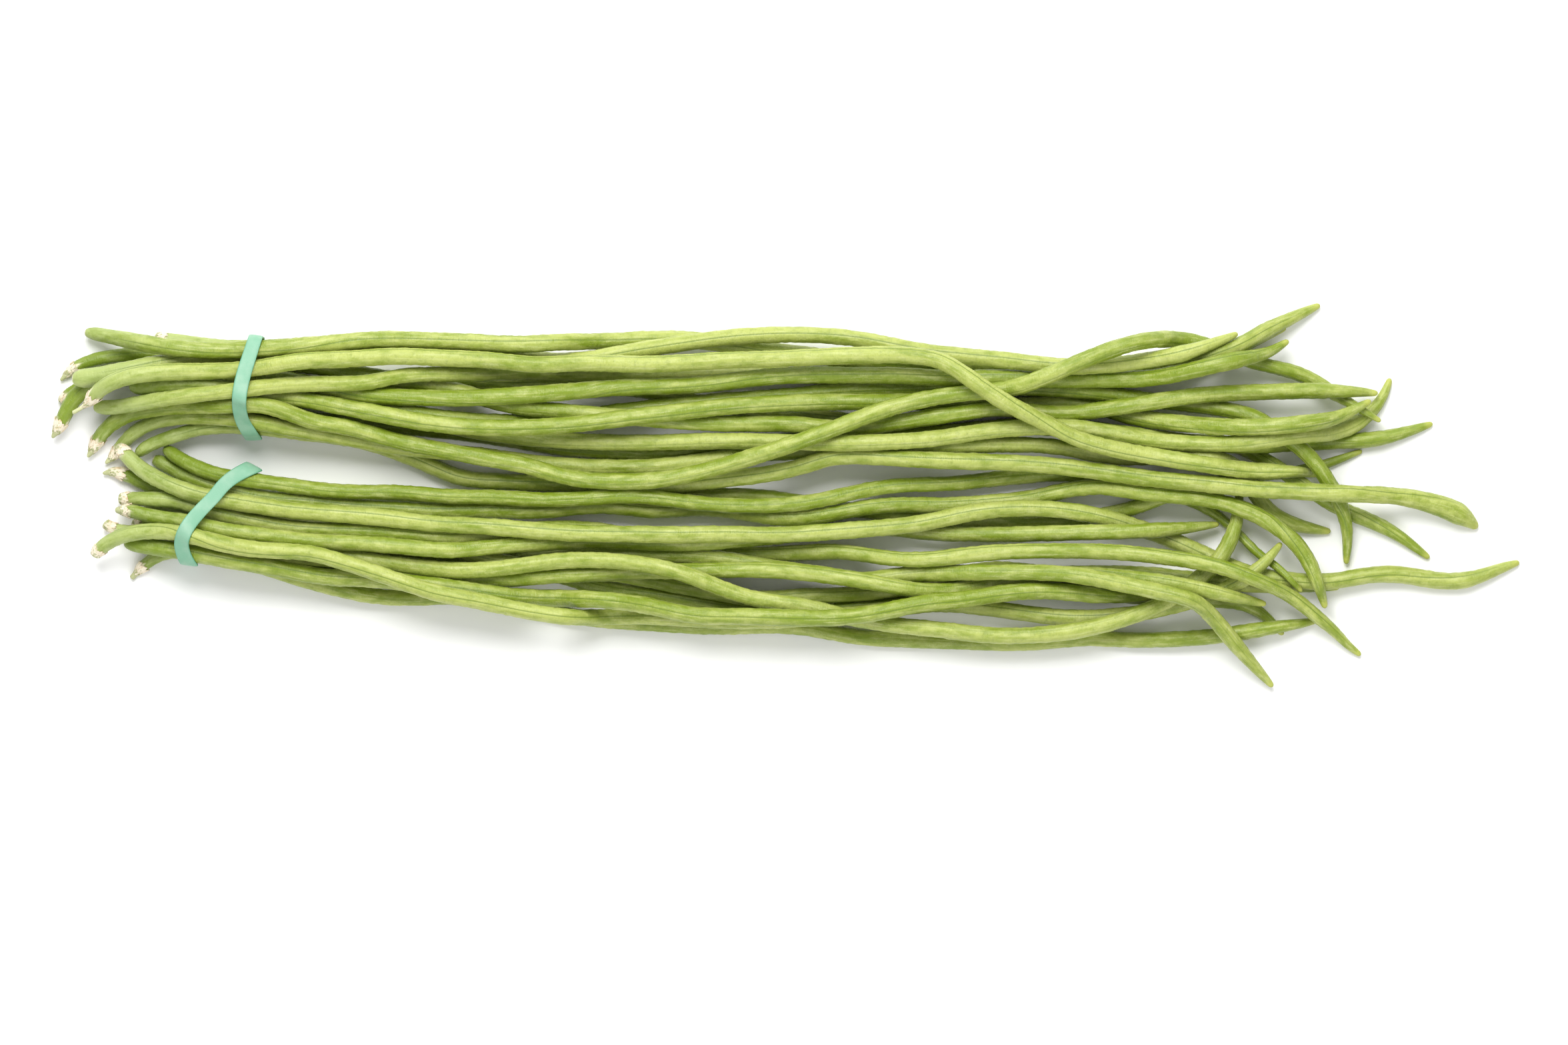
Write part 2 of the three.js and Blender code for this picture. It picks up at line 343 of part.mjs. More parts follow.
    line: [
      [157, 783, 1], [165, 789, 1], [180, 794, 1], [210, 797, 0.9], [240, 800, 0.9], [300, 806, 0.8],
      [350, 815, 0.9], [400, 822, 0.9], [450, 827, 1], [500, 830, 1.1], [550, 838, 1.3], [600, 846, 1.4],
      [650, 852, 1.4], [700, 855, 1.4], [750, 852, 1.4], [800, 846, 1.6], [850, 840, 1.8],
      [900, 840, 1.8], [950, 844, 1.8], [1000, 853, 1.8], [1037, 864, 1.8], [1075, 879, 1.8],
      [1125, 896, 1.6], [1175, 903, 1.4], [1210, 911, 1], [1250, 920, 0.8], [1300, 931, 0.7],
      [1350, 938, 0.9], [1400, 943, 1], [1450, 949, 1.2], [1500, 953, 1.4], [1550, 952, 1.4],
      [1600, 947, 1.4], [1650, 938, 1.4], [1700, 922, 1.2], [1740, 905, 0.9], [1770, 887, 0.8],
      [1800, 864, 0.9], [1830, 835, 1.2], [1848, 800, 1.4], [1855, 775, 1.2], [1858, 745, 0.8],
      [1860, 726, 0.6],
    ],
  },
  {
    name: "lower_pod_08", radius: 3.125, head: [0.3, 1.6, 4], line: [
      [143, 836, 1.8], [149, 826, 2], [160, 817, 2], [175, 808, 2.2], [195, 801, 2.3], [220, 797, 2.4],
      [250, 797, 2.6], [275, 800, 2.7], [300, 806, 2.8], [350, 818, 2.8], [400, 825, 2.8],
      [437, 826, 2.8], [475, 831, 2.8], [512, 841, 2.8], [550, 854, 2.9], [587, 866, 3], [625, 879, 3],
      [662, 890, 2.8], [700, 897, 2.8], [737, 906, 2.7], [800, 917, 2.6], [850, 924.5, 2.6],
      [866, 925, 2.5], [880, 925.5, 2], [900, 925.5, 1.8], [950, 924, 1.4], [1000, 926, 1],
      [1050, 929, 0.9], [1120, 931, 0.8], [1200, 928, 0.6], [1250, 924, 0.5], [1300, 918, 0.5],
      [1350, 911, 0.5], [1400, 906, 0.5], [1450, 908, 0.7], [1500, 915, 0.9], [1550, 921, 0.9],
      [1600, 926, 0.8], [1650, 926, 0.7], [1700, 920, 0.6], [1750, 911, 0.5], [1795, 899, 0.5],
      [1830, 884, 0.6], [1866, 868, 0.8], [1885, 852, 1.2], [1900, 838, 1.3], [1921, 814, 1.2],
    ],
  },
  {
    name: "lower_pod_09", radius: 3.25, line: [
      [188, 812, 1.1], [200, 815, 1.2], [230, 820, 1.2], [265, 825, 1.4], [310, 833, 1.6],
      [350, 841, 1.7], [400, 849, 1.8], [450, 858, 1.8], [500, 866, 1.8], [550, 868, 1.8],
      [600, 872, 1.8], [650, 878, 2], [700, 884, 2.2], [750, 892, 2.4], [800, 896, 2.4], [850, 897, 2.2],
      [866, 897.3, 2.3], [880, 897.5, 2.4], [900, 899, 2.4], [950, 904, 2.4], [1012, 917, 2.4],
      [1050, 923, 2.4], [1100, 924, 2.4], [1150, 925, 2.4], [1200, 926, 2.4], [1250, 926, 2.4],
      [1300, 921, 2.4], [1350, 912, 2.4], [1400, 902, 2.4], [1450, 898, 2.4], [1500, 890, 2.4],
      [1550, 886, 2], [1600, 888, 1.8], [1650, 893, 1.6], [1690, 896, 1], [1725, 897, 0.8],
    ],
  },
  {
    name: "lower_pod_10", radius: 3, head: [2.8, 1.1, 4],
    girth: [[200, 0.85], [300, 0.92], [420, 1]],
    line: [
      [197, 868, 0.7], [204, 860, 0.8], [214, 850, 0.8], [230, 838, 0.8], [250, 829, 0.7],
      [270, 826, 0.6], [310, 830, 0.5], [370, 842, 0.5], [400, 851, 0.5], [450, 868, 0.6],
      [500, 881, 0.8], [550, 892, 0.9], [612, 897, 0.9], [650, 895, 0.8], [700, 897, 0.6],
      [750, 905, 0.6], [800, 914, 0.5], [860, 924, 0.4], [900, 930, 0.4], [950, 933, 0.4],
      [1000, 937, 0.4], [1062, 940, 0.4], [1125, 939, 0.4], [1160, 938, 0.4], [1200, 941, 0.4],
      [1250, 949, 0.4], [1300, 957, 0.4], [1350, 959, 0.4], [1400, 961, 0.4], [1450, 963, 0.4],
      [1500, 964, 0.4], [1550, 963, 0.4], [1600, 960, 0.5], [1650, 957, 0.6], [1700, 960, 0.8],
      [1750, 959, 0.8], [1800, 955, 0.8], [1850, 951, 0.7], [1900, 942, 0.8], [1950, 935, 0.8],
      [1977, 930, 0.7],
    ],
  },
  {
    name: "lower_pod_11", radius: 3.125, head: [0.3, 1.4, 3.5], line: [
      [198, 782, 0.3], [206, 785, 0.3], [225, 787, 0.3], [260, 792, 0.25], [300, 803, 0.2],
      [350, 816, 0.2], [400, 827, 0.2], [450, 834, 0.2], [550, 844, 0.25], [620, 857, 0.3],
      [662, 864, 0.5], [700, 867, 0.8], [750, 869, 1], [800, 864, 1.1], [862, 863, 1.2], [900, 860, 1.2],
      [950, 857, 1.2], [1000, 856, 1.1], [1050, 856, 1.1], [1075, 855, 1.2], [1117, 854, 1.4],
      [1150, 854, 1.5], [1200, 859, 1.6], [1250, 864, 1.7], [1300, 872, 1.8], [1350, 880, 1.8],
      [1400, 887, 1.5], [1450, 882, 1.1], [1500, 873, 0.9], [1550, 866, 0.9], [1600, 860, 1],
      [1650, 861, 1.2], [1700, 868, 1.4], [1750, 874, 1.4], [1800, 884, 1.4], [1850, 895, 1.2],
      [1898, 906, 1],
    ],
  },
  {
    name: "lower_pod_12", radius: 3, line: [
      [216, 752, 0.35], [222, 755, 0.35], [235, 760, 0.3], [260, 766, 0.2], [300, 773, 0.1],
      [350, 778, 0.1], [450, 786, 0.1], [550, 795, 0.1], [650, 814, 0.1], [700, 829, 0.15],
      [750, 842, 0.2], [800, 852, 0.3], [830, 859, 0.36], [850, 861, 0.4], [860, 859.3, 0.42],
      [920, 861, 0.5], [962, 868, 0.5], [1000, 875, 0.5], [1037, 883, 0.5], [1082, 890, 0.5],
      [1125, 896, 0.5], [1150, 898, 0.5], [1200, 894, 0.75], [1250, 892, 0.68], [1300, 890, 0.65],
      [1350, 882, 0.6], [1400, 871, 0.5], [1450, 858, 0.3], [1500, 853, 0.3], [1550, 858, 0.3],
      [1600, 861, 0.3], [1650, 859, 0.4], [1700, 860, 0.5], [1750, 864, 0.5], [1790, 869, 0.5],
      [1830, 873, 0.4], [1870, 876, 0.3], [1900, 878, 0.3], [1950, 879, 0.4], [2009, 881, 0.4],
    ],
  },
  {
    name: "lower_pod_13", radius: 3.125, line: [
      [335, 802, 0.05], [450, 814, 0.05], [550, 820, 0.05], [650, 828, 0.08], [750, 832, 0.1],
      [800, 833, 0.15], [830, 832.5, 0.15], [860, 831.5, 0.45], [907, 831, 0.7], [950, 831, 0.8],
      [1000, 832, 0.9], [1060, 836, 0.9], [1100, 841, 0.8], [1147, 849, 0.7], [1200, 857, 0.6],
      [1250, 863, 0.8], [1290, 869, 0.9], [1350, 863, 1], [1400, 860, 1.2], [1450, 857, 1.5],
      [1500, 859, 1.8], [1550, 858, 2.2], [1600, 861, 2.2], [1650, 868, 2.4], [1700, 880, 2.4],
      [1750, 890, 2.2], [1780, 898, 2.2], [1800, 909, 2], [1820, 928, 1.8], [1840, 950, 1.8],
      [1855, 970, 1.6], [1880, 998, 1.2], [1909, 1030, 0.8],
    ],
  },
  {
    name: "lower_pod_14", radius: 3, line: [
      [340, 838, 0], [450, 856, 0], [550, 868, 0], [650, 871, 0], [750, 868, 0.1], [820, 862, 0.2],
      [850, 866, 0.3], [870, 872, 0.3], [900, 881, 0.3], [950, 888, 0.3], [1000, 896, 0.3],
      [1050, 905, 0.3], [1100, 912, 0.3], [1200, 917, 0.2], [1300, 908, 0.2], [1400, 898, 0.2],
      [1500, 888, 0.2], [1600, 886, 0.2], [1690, 893, 0.3], [1740, 898, 0.4], [1790, 900, 0.4],
      [1830, 900, 0.5], [1870, 907, 0.5], [1900, 927, 0.4], [1925, 952, 0.3],
    ],
  },
];

// Each band's line across its bundle, from the top of the plan down, and the pods that it ties. slant is
// how far its crossings run on along the line, per mm to the side, at the line's start and at its end.
const BANDS = [
  {
    name: "upper_band",
    ties: "upper_pod",
    slant: [-0.3, 0.6],
    line: [
      [394, 480], [386, 509], [377, 538], [369, 565], [364, 590], [363, 613], [367, 632], [377, 650],
      [388, 668],
    ],
  },
  {
    name: "lower_band",
    ties: "lower_pod",
    slant: [-0.9, 0.9],
    line: [
      [400, 692], [369, 706], [352, 716], [338, 728], [324, 745], [305, 765], [290, 783], [280, 800],
      [276, 815], [278, 829], [284, 843], [295, 860],
    ],
  },
];

// Smooth curve through the grid points, as mm positions about every half millimetre.
function centreLine(line) {
  const knots = line.map(([x, y]) => new THREE.Vector3(x * GRID, (GRID_Y - y) * GRID, 0));
  const smooth = new THREE.CatmullRomCurve3(knots, false, "centripetal");
  const count = Math.ceil(smooth.getLength() / FINE_STEP);
  const points = [];
  let run = 0;
  for (let i = 0; i <= count; i += 1) {
    const p = smooth.getPoint(i / count);
    const place = (i / count) * (line.length - 1);
    const k = Math.min(line.length - 2, Math.floor(place));
    const low = line[k][2] || 0;
    const high = line[k + 1][2] || 0;
    if (i > 0) {
      run += Math.hypot(p.x - points[i - 1].x, p.y - points[i - 1].y);
    }
    points.push({ x: p.x, y: p.y, layer: low + (high - low) * (place - k), s: run });
  }
  return points;
}

// Place and layer on a smooth line at distance s along it, straight between its points.
function pointAt(curve, s) {
  let low = 0;
  let high = curve.length - 1;
  while (high - low > 1) {
    const mid = (low + high) >> 1;
    if (curve[mid].s <= s) {
      low = mid;
    } else {
      high = mid;
    }
  }
  const a = curve[low];
  const b = curve[high];
  const t = Math.min(1, Math.max(0, (s - a.s) / Math.max(1e-9, b.s - a.s)));
  return {
    x: a.x + (b.x - a.x) * t,
    y: a.y + (b.y - a.y) * t,
    layer: a.layer + (b.layer - a.layer) * t,
  };
}

const mix = (a, b, t) => a + (b - a) * Math.min(1, Math.max(0, t));

// Share of its usual radius that a pod has at x, between the places its girth names.
function girthAt(pod, x) {
  const girth = pod.girth || [[0, 1]];
  const last = girth[girth.length - 1];
  if (x <= girth[0][0]) {
    return girth[0][1];
  }
  for (let k = 0; k + 1 < girth.length; k += 1) {
    const [x0, share0] = girth[k];
    const [x1, share1] = girth[k + 1];
    if (x < x1) {
      return mix(share0, share1, (x - x0) / (x1 - x0));
    }
  }
  return last[1];
}

// Radius of a pod at distance s from its stem end, for a pod of full radius r and length l.
function radiusAt(pod, r, s, l) {
  let stem = 1;
  if (pod.head) {
    const [pedicel, thin, calyx] = pod.head;
    if (s < pedicel) {
      return thin;
    }
    if (s < pedicel + calyx) {
      const t = (s - pedicel) / calyx;
      return mix(thin, SHOULDER * r, Math.sin(t * Math.PI * 0.5) * 0.5 + t * 0.5);
    }
    stem = mix(SHOULDER, 1, (s - pedicel - calyx) / NECK_LENGTH);
  } else if (s < BLUNT_LENGTH) {
    const u = 1 - s / BLUNT_LENGTH;
    stem = Math.max(BLUNT_FACE, Math.sqrt(Math.max(0, 1 - u * u)) * BLUNT_SHARE);
  } else {
    stem = mix(BLUNT_SHARE, 1, (s - BLUNT_LENGTH) / NECK_LENGTH);
  }
  const left = Math.max(0, (l - s) / (pod.tip || TIP_LENGTH));
  const tip = left >= 1 ? r : mix(TIP_RADIUS, r, Math.pow(left, TIP_CURVE));
  return Math.min(r * stem, tip);
}

// Distances from the stem end of the sections on a pod's calyx, or on its blunt end.
function headSections(pod) {
  if (!pod.head) {
    return BLUNT_SECTIONS;
  }
  const [pedicel, , calyx] = pod.head;
  const cup = [pedicel + calyx * CALYX_SECTION, pedicel + calyx, pedicel + calyx + NECK_SECTION];
  return pedicel > 2 ? [STALK_SECTION, pedicel, ...cup] : [STALK_SECTION, ...cup];
}

// Distances from the stem end at which a pod has a section: close where it bends or changes radius.
function stations(pod, curve) {
  const l = curve[curve.length - 1].s;
  const taper = pod.tip || TIP_LENGTH;
  const head = headSections(pod);
  const tail = [...TAPER_SECTIONS.map((share) => l - taper * share), l - END_STEP];
  const steps = [];
  let total = 0;
  for (let s = head[head.length - 1]; s < tail[0]; s += FINE_STEP) {
    const a = pointAt(curve, Math.max(0, s - BEND_SPAN));
    const b = pointAt(curve, s);
    const c = pointAt(curve, Math.min(l, s + BEND_SPAN));
    const turn = Math.atan2(c.y - b.y, c.x - b.x) - Math.atan2(b.y - a.y, b.x - a.x);
    const bend = Math.abs(Math.atan2(Math.sin(turn), Math.cos(turn))) / BEND_SPAN;
    total += FINE_STEP * Math.max(1 / BODY_STEP_MAX, Math.sqrt(bend / (8 * CHORD_ERROR)));
    steps.push({ s, total });
  }
  const count = Math.ceil(total);
  const body = [];
  let k = 0;
  for (let n = 1; n < count; n += 1) {
    while (k < steps.length - 1 && steps[k].total < (total * n) / count) {
      k += 1;
    }
    body.push(steps[k].s);
  }
  return [...head, ...body, ...tail];
}

// A pod's sections on its line, each on its layer, and the points where it starts and ends.
function layOut(pod) {
  const curve = centreLine(pod.line);
  const l = curve[curve.length - 1].s;
  const r = pod.radius * CORNER;
  const nodes = stations(pod, curve).map((s) => {
    const p = pointAt(curve, s);
    const radius = radiusAt(pod, r * girthAt(pod, p.x / GRID), s, l);
    const z = radius + p.layer * LAYER;
    return { x: p.x, y: p.y, z, r: radius, layer: p.layer, s };
  });
  const start = pointAt(curve, 0);
  const end = pointAt(curve, l);
  return { name: pod.name, nodes, start, end };
}

// Points along a pod's stepped centre line, each tied to the two sections that it lies between.
function contactPoints(pod, index, step) {
  const out = [];
  const add = (a, b, t) => {
    const length = Math.hypot(b.x - a.x, b.y - a.y);
    out.push({
      pod: index, a, b, t, x: a.x + (b.x - a.x) * t, y: a.y + (b.y - a.y) * t,
      r: a.r + (b.r - a.r) * t, layer: a.layer + (b.layer - a.layer) * t,
      sideX: -(b.y - a.y) / length, sideY: (b.x - a.x) / length,
    });
  };
  const last = pod.nodes.length - 1;
  for (let k = 0; k < last; k += 1) {
    const a = pod.nodes[k];
    const b = pod.nodes[k + 1];
    const parts = Math.max(1, Math.round(Math.hypot(b.x - a.x, b.y - a.y) / step));
    for (let i = 0; i < parts; i += 1) {
      add(a, b, i / parts);
    }
  }
  add(pod.nodes[last - 1], pod.nodes[last], 1);
  return out;
}

// Height of a contact point, straight between the sections beside it.
const heightOf = (p) => p.a.z * (1 - p.t) + p.b.z * p.t;

// Raises a contact point by raising the two sections beside it.
function lift(p, amount) {
  p.a.z += amount * (1 - p.t);
  p.b.z += amount * p.t;
}

// A band's line, thinned out, for the bed under it.
function bandLine(band) {
  const curve = centreLine(band.line);
  return curve.filter((p, i) => i % BED_EVERY === 0);
}

// Height below which nothing may sink at (x, y): the table, or the band that runs under the bundle.
function bedAt(x, y, bandLines) {
  for (const line of bandLines) {
    for (const p of line) {
      if (Math.hypot(p.x - x, p.y - y) < BAND_REACH) {
        return BAND_BED;
      }
    }
  }
  return 0;
}

// Lets the pods sink under their own weight, layer over layer, until they touch the table or each other.
function settle(pods, bandLines) {
  const points = pods.map((pod, i) => contactPoints(pod, i, SAMPLE));
  const contacts = [];
  for (let i = 0; i < pods.length; i += 1) {
    for (let j = i + 1; j < pods.length; j += 1) {
      for (const p of points[i]) {
        for (const q of points[j]) {
          const reach = p.r + q.r + GAP;
          const dx = p.x - q.x;
          const dy = p.y - q.y;
          const d2 = dx * dx + dy * dy;
          if (d2 < reach * reach) {
            const over = p.layer >= q.layer ? p : q;
            const under = over === p ? q : p;
            const weight = (1 - p.t) ** 2 + p.t ** 2 + (1 - q.t) ** 2 + q.t ** 2;
            contacts.push({ over, under, rise: Math.sqrt(reach * reach - d2), weight });
          }
        }
      }
    }
  }
  const beds = [];
  points.flat().forEach((p) => {
    const bed = bedAt(p.x, p.y, bandLines);
    if (bed > 0) {
      beds.push({ p, level: bed + p.r });
    }
  });
  const keepApart = () => {
    for (const c of contacts) {
      const miss = c.rise - (heightOf(c.over) - heightOf(c.under));
      if (miss > 0) {
        const share = miss / c.weight;
        lift(c.over, share);
        lift(c.under, -share);
      }
    }
    for (const bed of beds) {
      const miss = bed.level - heightOf(bed.p);
      if (miss > 0) {
        lift(bed.p, miss / ((1 - bed.p.t) ** 2 + bed.p.t ** 2));
      }
    }
    for (const pod of pods) {
      for (const n of pod.nodes) {
        n.z = Math.max(n.z, n.r * FLAT);
      }
    }
  };
  const straighten = () => {
    for (const pod of pods) {
      const n = pod.nodes;
      for (let k = 1; k + 1 < n.length; k += 1) {
        const before = n[k].s - n[k - 1].s;
        const after = n[k + 1].s - n[k].s;
        const chord = (n[k - 1].z * after + n[k + 1].z * before) / (before + after);
        n[k].z += (chord - n[k].z) * STRAIGHTEN;
      }
      const last = n.length - 1;
      n[0].z += (n[1].z - n[0].z) * STRAIGHTEN;
      n[last].z += (n[last - 1].z - n[last].z) * STRAIGHTEN;
    }
  };
  for (let round = 0; round < DROP_ROUNDS; round += 1) {
    const fall = FIRST_FALL * (1 - round / DROP_ROUNDS) + LAST_FALL;
    for (const pod of pods) {
      for (const n of pod.nodes) {
        n.z -= fall;
      }
    }
    straighten();
    keepApart();
    keepApart();
  }
  for (let round = 0; round < CLEAR_ROUNDS; round += 1) {
    keepApart();
  }
}

// A named mesh whose own origin is the middle of its plan, on the table.
function solid(name, positions, triangles, finish) {
  const centre = new THREE.Vector3();
  for (const p of positions) {
    centre.add(p);
  }
  centre.multiplyScalar(1 / positions.length);
  centre.z = 0;
  const geometry = new THREE.BufferGeometry();
  const flat = positions.flatMap((p) => [p.x - centre.x, p.y - centre.y, p.z]);
  geometry.setAttribute("position", new THREE.Float32BufferAttribute(flat, 3));
  geometry.setIndex(triangles);
  geometry.computeVertexNormals();
  const material = new THREE.MeshStandardMaterial({ ...finish, metalness: 0 });
  const mesh = new THREE.Mesh(geometry, material);
  mesh.name = name;
  mesh.position.copy(centre);
  return mesh;
}

// A pod: upright sections square to its plan, joined, with a point in the middle of each end.
function podMesh(pod) {
  const n = pod.nodes;
  const positions = [];
  for (let k = 0; k < n.length; k += 1) {
    const a = n[Math.max(0, k - 1)];
    const b = n[Math.min(n.length - 1, k + 1)];
    const length = Math.hypot(b.x - a.x, b.y - a.y);
    const sideX = -(b.y - a.y) / length;
    const sideY = (b.x - a.x) / length;
    for (let i = 0; i < SIDES; i += 1) {
      const angle = -Math.PI / 2 + (Math.PI * (2 * i + 1)) / SIDES;
      const across = Math.cos(angle) * n[k].r;
      const up = Math.sin(angle) * n[k].r;
      positions.push(new THREE.Vector3(n[k].x + sideX * across, n[k].y + sideY * across, n[k].z + up));
    }
  }
  const first = positions.length;
  positions.push(new THREE.Vector3(pod.start.x, pod.start.y, n[0].z));
  positions.push(new THREE.Vector3(pod.end.x, pod.end.y, n[n.length - 1].z));
  const triangles = [];
  for (let k = 0; k + 1 < n.length; k += 1) {
    for (let i = 0; i < SIDES; i += 1) {
      const j = (i + 1) % SIDES;
      const a = k * SIDES + i;
      const b = k * SIDES + j;
      triangles.push(a, b, b + SIDES, a, b + SIDES, a + SIDES);
    }
  }
  const end = (n.length - 1) * SIDES;
  for (let i = 0; i < SIDES; i += 1) {
    const j = (i + 1) % SIDES;
    triangles.push(first, j, i);
    triangles.push(first + 1, end + i, end + j);
  }
  return solid(pod.name, positions, triangles, SKIN);
}

// Twice the area of the triangle o, a, b: above 0 where it turns left.
function cross(o, a, b) {
  return (a[0] - o[0]) * (b[1] - o[1]) - (a[1] - o[1]) * (b[0] - o[0]);
}

// The convex outline of a cloud of points, turning left, as one chain below and one above.
function convexHull(points) {
  const sorted = [...points].sort((a, b) => a[0] - b[0] || a[1] - b[1]);
  const half = (list) => {
    const out = [];
    for (const p of list) {
      while (out.length > 1 && cross(out[out.length - 2], out[out.length - 1], p) <= 0) {
        out.pop();
      }
      out.push(p);
    }
    out.pop();
    return out;
  };
  return [...half(sorted), ...half(sorted.reverse())];
}

// Where (x, y) lies on a band's line: s along it, d to its side.
function project(curve, x, y) {
  let best = 0;
  let nearest = Infinity;
  curve.forEach((c, i) => {
    const d = Math.hypot(c.x - x, c.y - y);
    if (d < nearest) {
      nearest = d;
      best = i;
    }
  });
  const a = curve[Math.max(0, best - NEAR_POINTS)];
  const b = curve[Math.min(curve.length - 1, best + NEAR_POINTS)];
  const c = curve[best];
  const length = Math.hypot(b.x - a.x, b.y - a.y);
  const alongX = (b.x - a.x) / length;
  const alongY = (b.y - a.y) / length;
  return {
    s: c.s + (x - c.x) * alongX + (y - c.y) * alongY,
    d: (y - c.y) * alongX - (x - c.x) * alongY,
  };
}

// How far the band's crossings run on along its line, per mm to its side, where the pods cross it askew.
function slantAt(band, curve, s) {
  return mix(band.slant[0], band.slant[1], s / curve[curve.length - 1].s);
}

// The stretched loop round a bundle, unrolled: distance along the band's line, and height.
function bandLoop(band, curve, pods) {
  const outline = [];
  const grow = BAND_CLEAR + BAND_THICK / 2;
  for (const pod of pods.filter((p) => p.name.startsWith(band.ties))) {
    for (const p of contactPoints(pod, 0, SAMPLE / 2)) {
      if (Math.abs(project(curve, p.x, p.y).d) > BAND_WIDTH + p.r) {
        continue;
      }
      for (let i = 0; i < RIM_POINTS; i += 1) {
        const angle = (2 * Math.PI * i) / RIM_POINTS;
        const out = Math.cos(angle) * (p.r + grow);
        const at = project(curve, p.x + p.sideX * out, p.y + p.sideY * out);
        const height = heightOf(p) + Math.sin(angle) * (p.r + grow);
        if (Math.abs(at.d) < BAND_WIDTH / 2 + BAND_MARGIN) {
          const along = at.s - at.d * slantAt(band, curve, at.s);
          outline.push([along, Math.max(BAND_THICK / 2, height)]);
        }
      }
    }
  }
  const hull = convexHull(outline);
  const lengths = hull.map((p, i) => {
    const q = hull[(i + 1) % hull.length];
    return Math.hypot(q[0] - p[0], q[1] - p[1]);
  });
  const around = lengths.reduce((a, b) => a + b, 0);
  const loop = [];
  let k = 0;
  let passed = 0;
  for (let i = 0; i < BAND_POINTS; i += 1) {
    const target = (around * i) / BAND_POINTS;
    while (passed + lengths[k] < target) {
      passed += lengths[k];
      k += 1;
    }
    const t = (target - passed) / lengths[k];
    const q = hull[(k + 1) % hull.length];
    loop.push([hull[k][0] + (q[0] - hull[k][0]) * t, hull[k][1] + (q[1] - hull[k][1]) * t]);
  }
  return loop;
}

// A band: four-cornered sections round its loop, set square to its line and shifted by its slant.
function bandMesh(band, pods) {
  const curve = centreLine(band.line);
  const end = curve[curve.length - 1].s;
  const loop = bandLoop(band, curve, pods);
  const positions = [];
  for (let i = 0; i < loop.length; i += 1) {
    const before = loop[(i + loop.length - 1) % loop.length];
    const after = loop[(i + 1) % loop.length];
    const run = Math.hypot(after[0] - before[0], after[1] - before[1]);
    const outS = (after[1] - before[1]) / run;
    const outZ = -(after[0] - before[0]) / run;
    for (const [side, skin] of [[-1, -1], [-1, 1], [1, 1], [1, -1]]) {
      const shift = (slantAt(band, curve, loop[i][0]) * BAND_WIDTH * side) / 2;
      const s = loop[i][0] + shift + (outS * skin * BAND_THICK) / 2;
      const z = loop[i][1] + (outZ * skin * BAND_THICK) / 2;
      const held = Math.min(end - BAND_LOOK, Math.max(BAND_LOOK, s));
      const a = pointAt(curve, held - BAND_LOOK);
      const b = pointAt(curve, held + BAND_LOOK);
      const c = pointAt(curve, held);
      const length = Math.hypot(b.x - a.x, b.y - a.y);
      const alongX = (b.x - a.x) / length;
      const alongY = (b.y - a.y) / length;
      const x = c.x + alongX * (s - held) - (alongY * BAND_WIDTH * side) / 2;
      const y = c.y + alongY * (s - held) + (alongX * BAND_WIDTH * side) / 2;
      positions.push(new THREE.Vector3(x, y, z));
    }
  }
  const triangles = [];
  for (let i = 0; i < loop.length; i += 1) {
    const j = (i + 1) % loop.length;
    for (let e = 0; e < 4; e += 1) {
      const f = (e + 1) % 4;
      triangles.push(i * 4 + e, i * 4 + f, j * 4 + f, i * 4 + e, j * 4 + f, j * 4 + e);
    }
  }
  return solid(band.name, positions, triangles, RUBBER);
}

const pods = PODS.map(layOut);
settle(pods, BANDS.map(bandLine));

const bunch = new THREE.Group();
for (const pod of pods) {
  bunch.add(podMesh(pod));
}
for (const band of BANDS) {
  bunch.add(bandMesh(band, pods));
}

// Centre the bunch over the origin, standing on z = 0.
bunch.updateMatrixWorld(true);
const box = new THREE.Box3().setFromObject(bunch, true);
bunch.position.set(-(box.min.x + box.max.x) / 2, -(box.min.y + box.max.y) / 2, -box.min.z);

export default bunch;
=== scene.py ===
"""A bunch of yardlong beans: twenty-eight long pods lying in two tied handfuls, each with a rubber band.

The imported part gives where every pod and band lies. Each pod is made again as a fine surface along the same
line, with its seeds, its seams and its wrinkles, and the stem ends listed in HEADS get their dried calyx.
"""

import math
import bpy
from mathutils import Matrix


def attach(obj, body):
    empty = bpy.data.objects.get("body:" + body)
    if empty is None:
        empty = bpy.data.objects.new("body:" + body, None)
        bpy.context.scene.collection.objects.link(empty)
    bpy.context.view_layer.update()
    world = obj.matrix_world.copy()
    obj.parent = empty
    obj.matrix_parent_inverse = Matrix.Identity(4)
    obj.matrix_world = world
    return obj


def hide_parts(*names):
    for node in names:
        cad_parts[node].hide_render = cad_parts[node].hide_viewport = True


bl_info = {
    "name": "Yardlong bean bunch",
    "version": (1, 0, 0),
    "blender": (4, 5, 0),
    "location": "View3D > Sidebar > Beans",
    "description": "Long bean pods with dried calyxes, tied with two rubber bands, and a plain stage",
    "category": "Add Mesh",
}

import bpy
import numpy as np
from bpy.props import EnumProperty, FloatProperty, FloatVectorProperty, IntProperty, PointerProperty
from mathutils import Vector

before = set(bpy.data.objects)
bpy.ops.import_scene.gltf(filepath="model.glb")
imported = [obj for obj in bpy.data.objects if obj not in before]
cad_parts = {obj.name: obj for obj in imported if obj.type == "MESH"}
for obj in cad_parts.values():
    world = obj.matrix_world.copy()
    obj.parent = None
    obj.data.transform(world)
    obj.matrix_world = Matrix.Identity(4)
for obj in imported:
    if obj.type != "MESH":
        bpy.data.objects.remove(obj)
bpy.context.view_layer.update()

MM = 0.001
CORNER = 1.02  # the solids' corners stand this share outside the pod's real radius
STEM_CAP = 0.7 * MM  # how far the domes reach that close a pod's two ends
TIP_CAP = 1.1 * MM

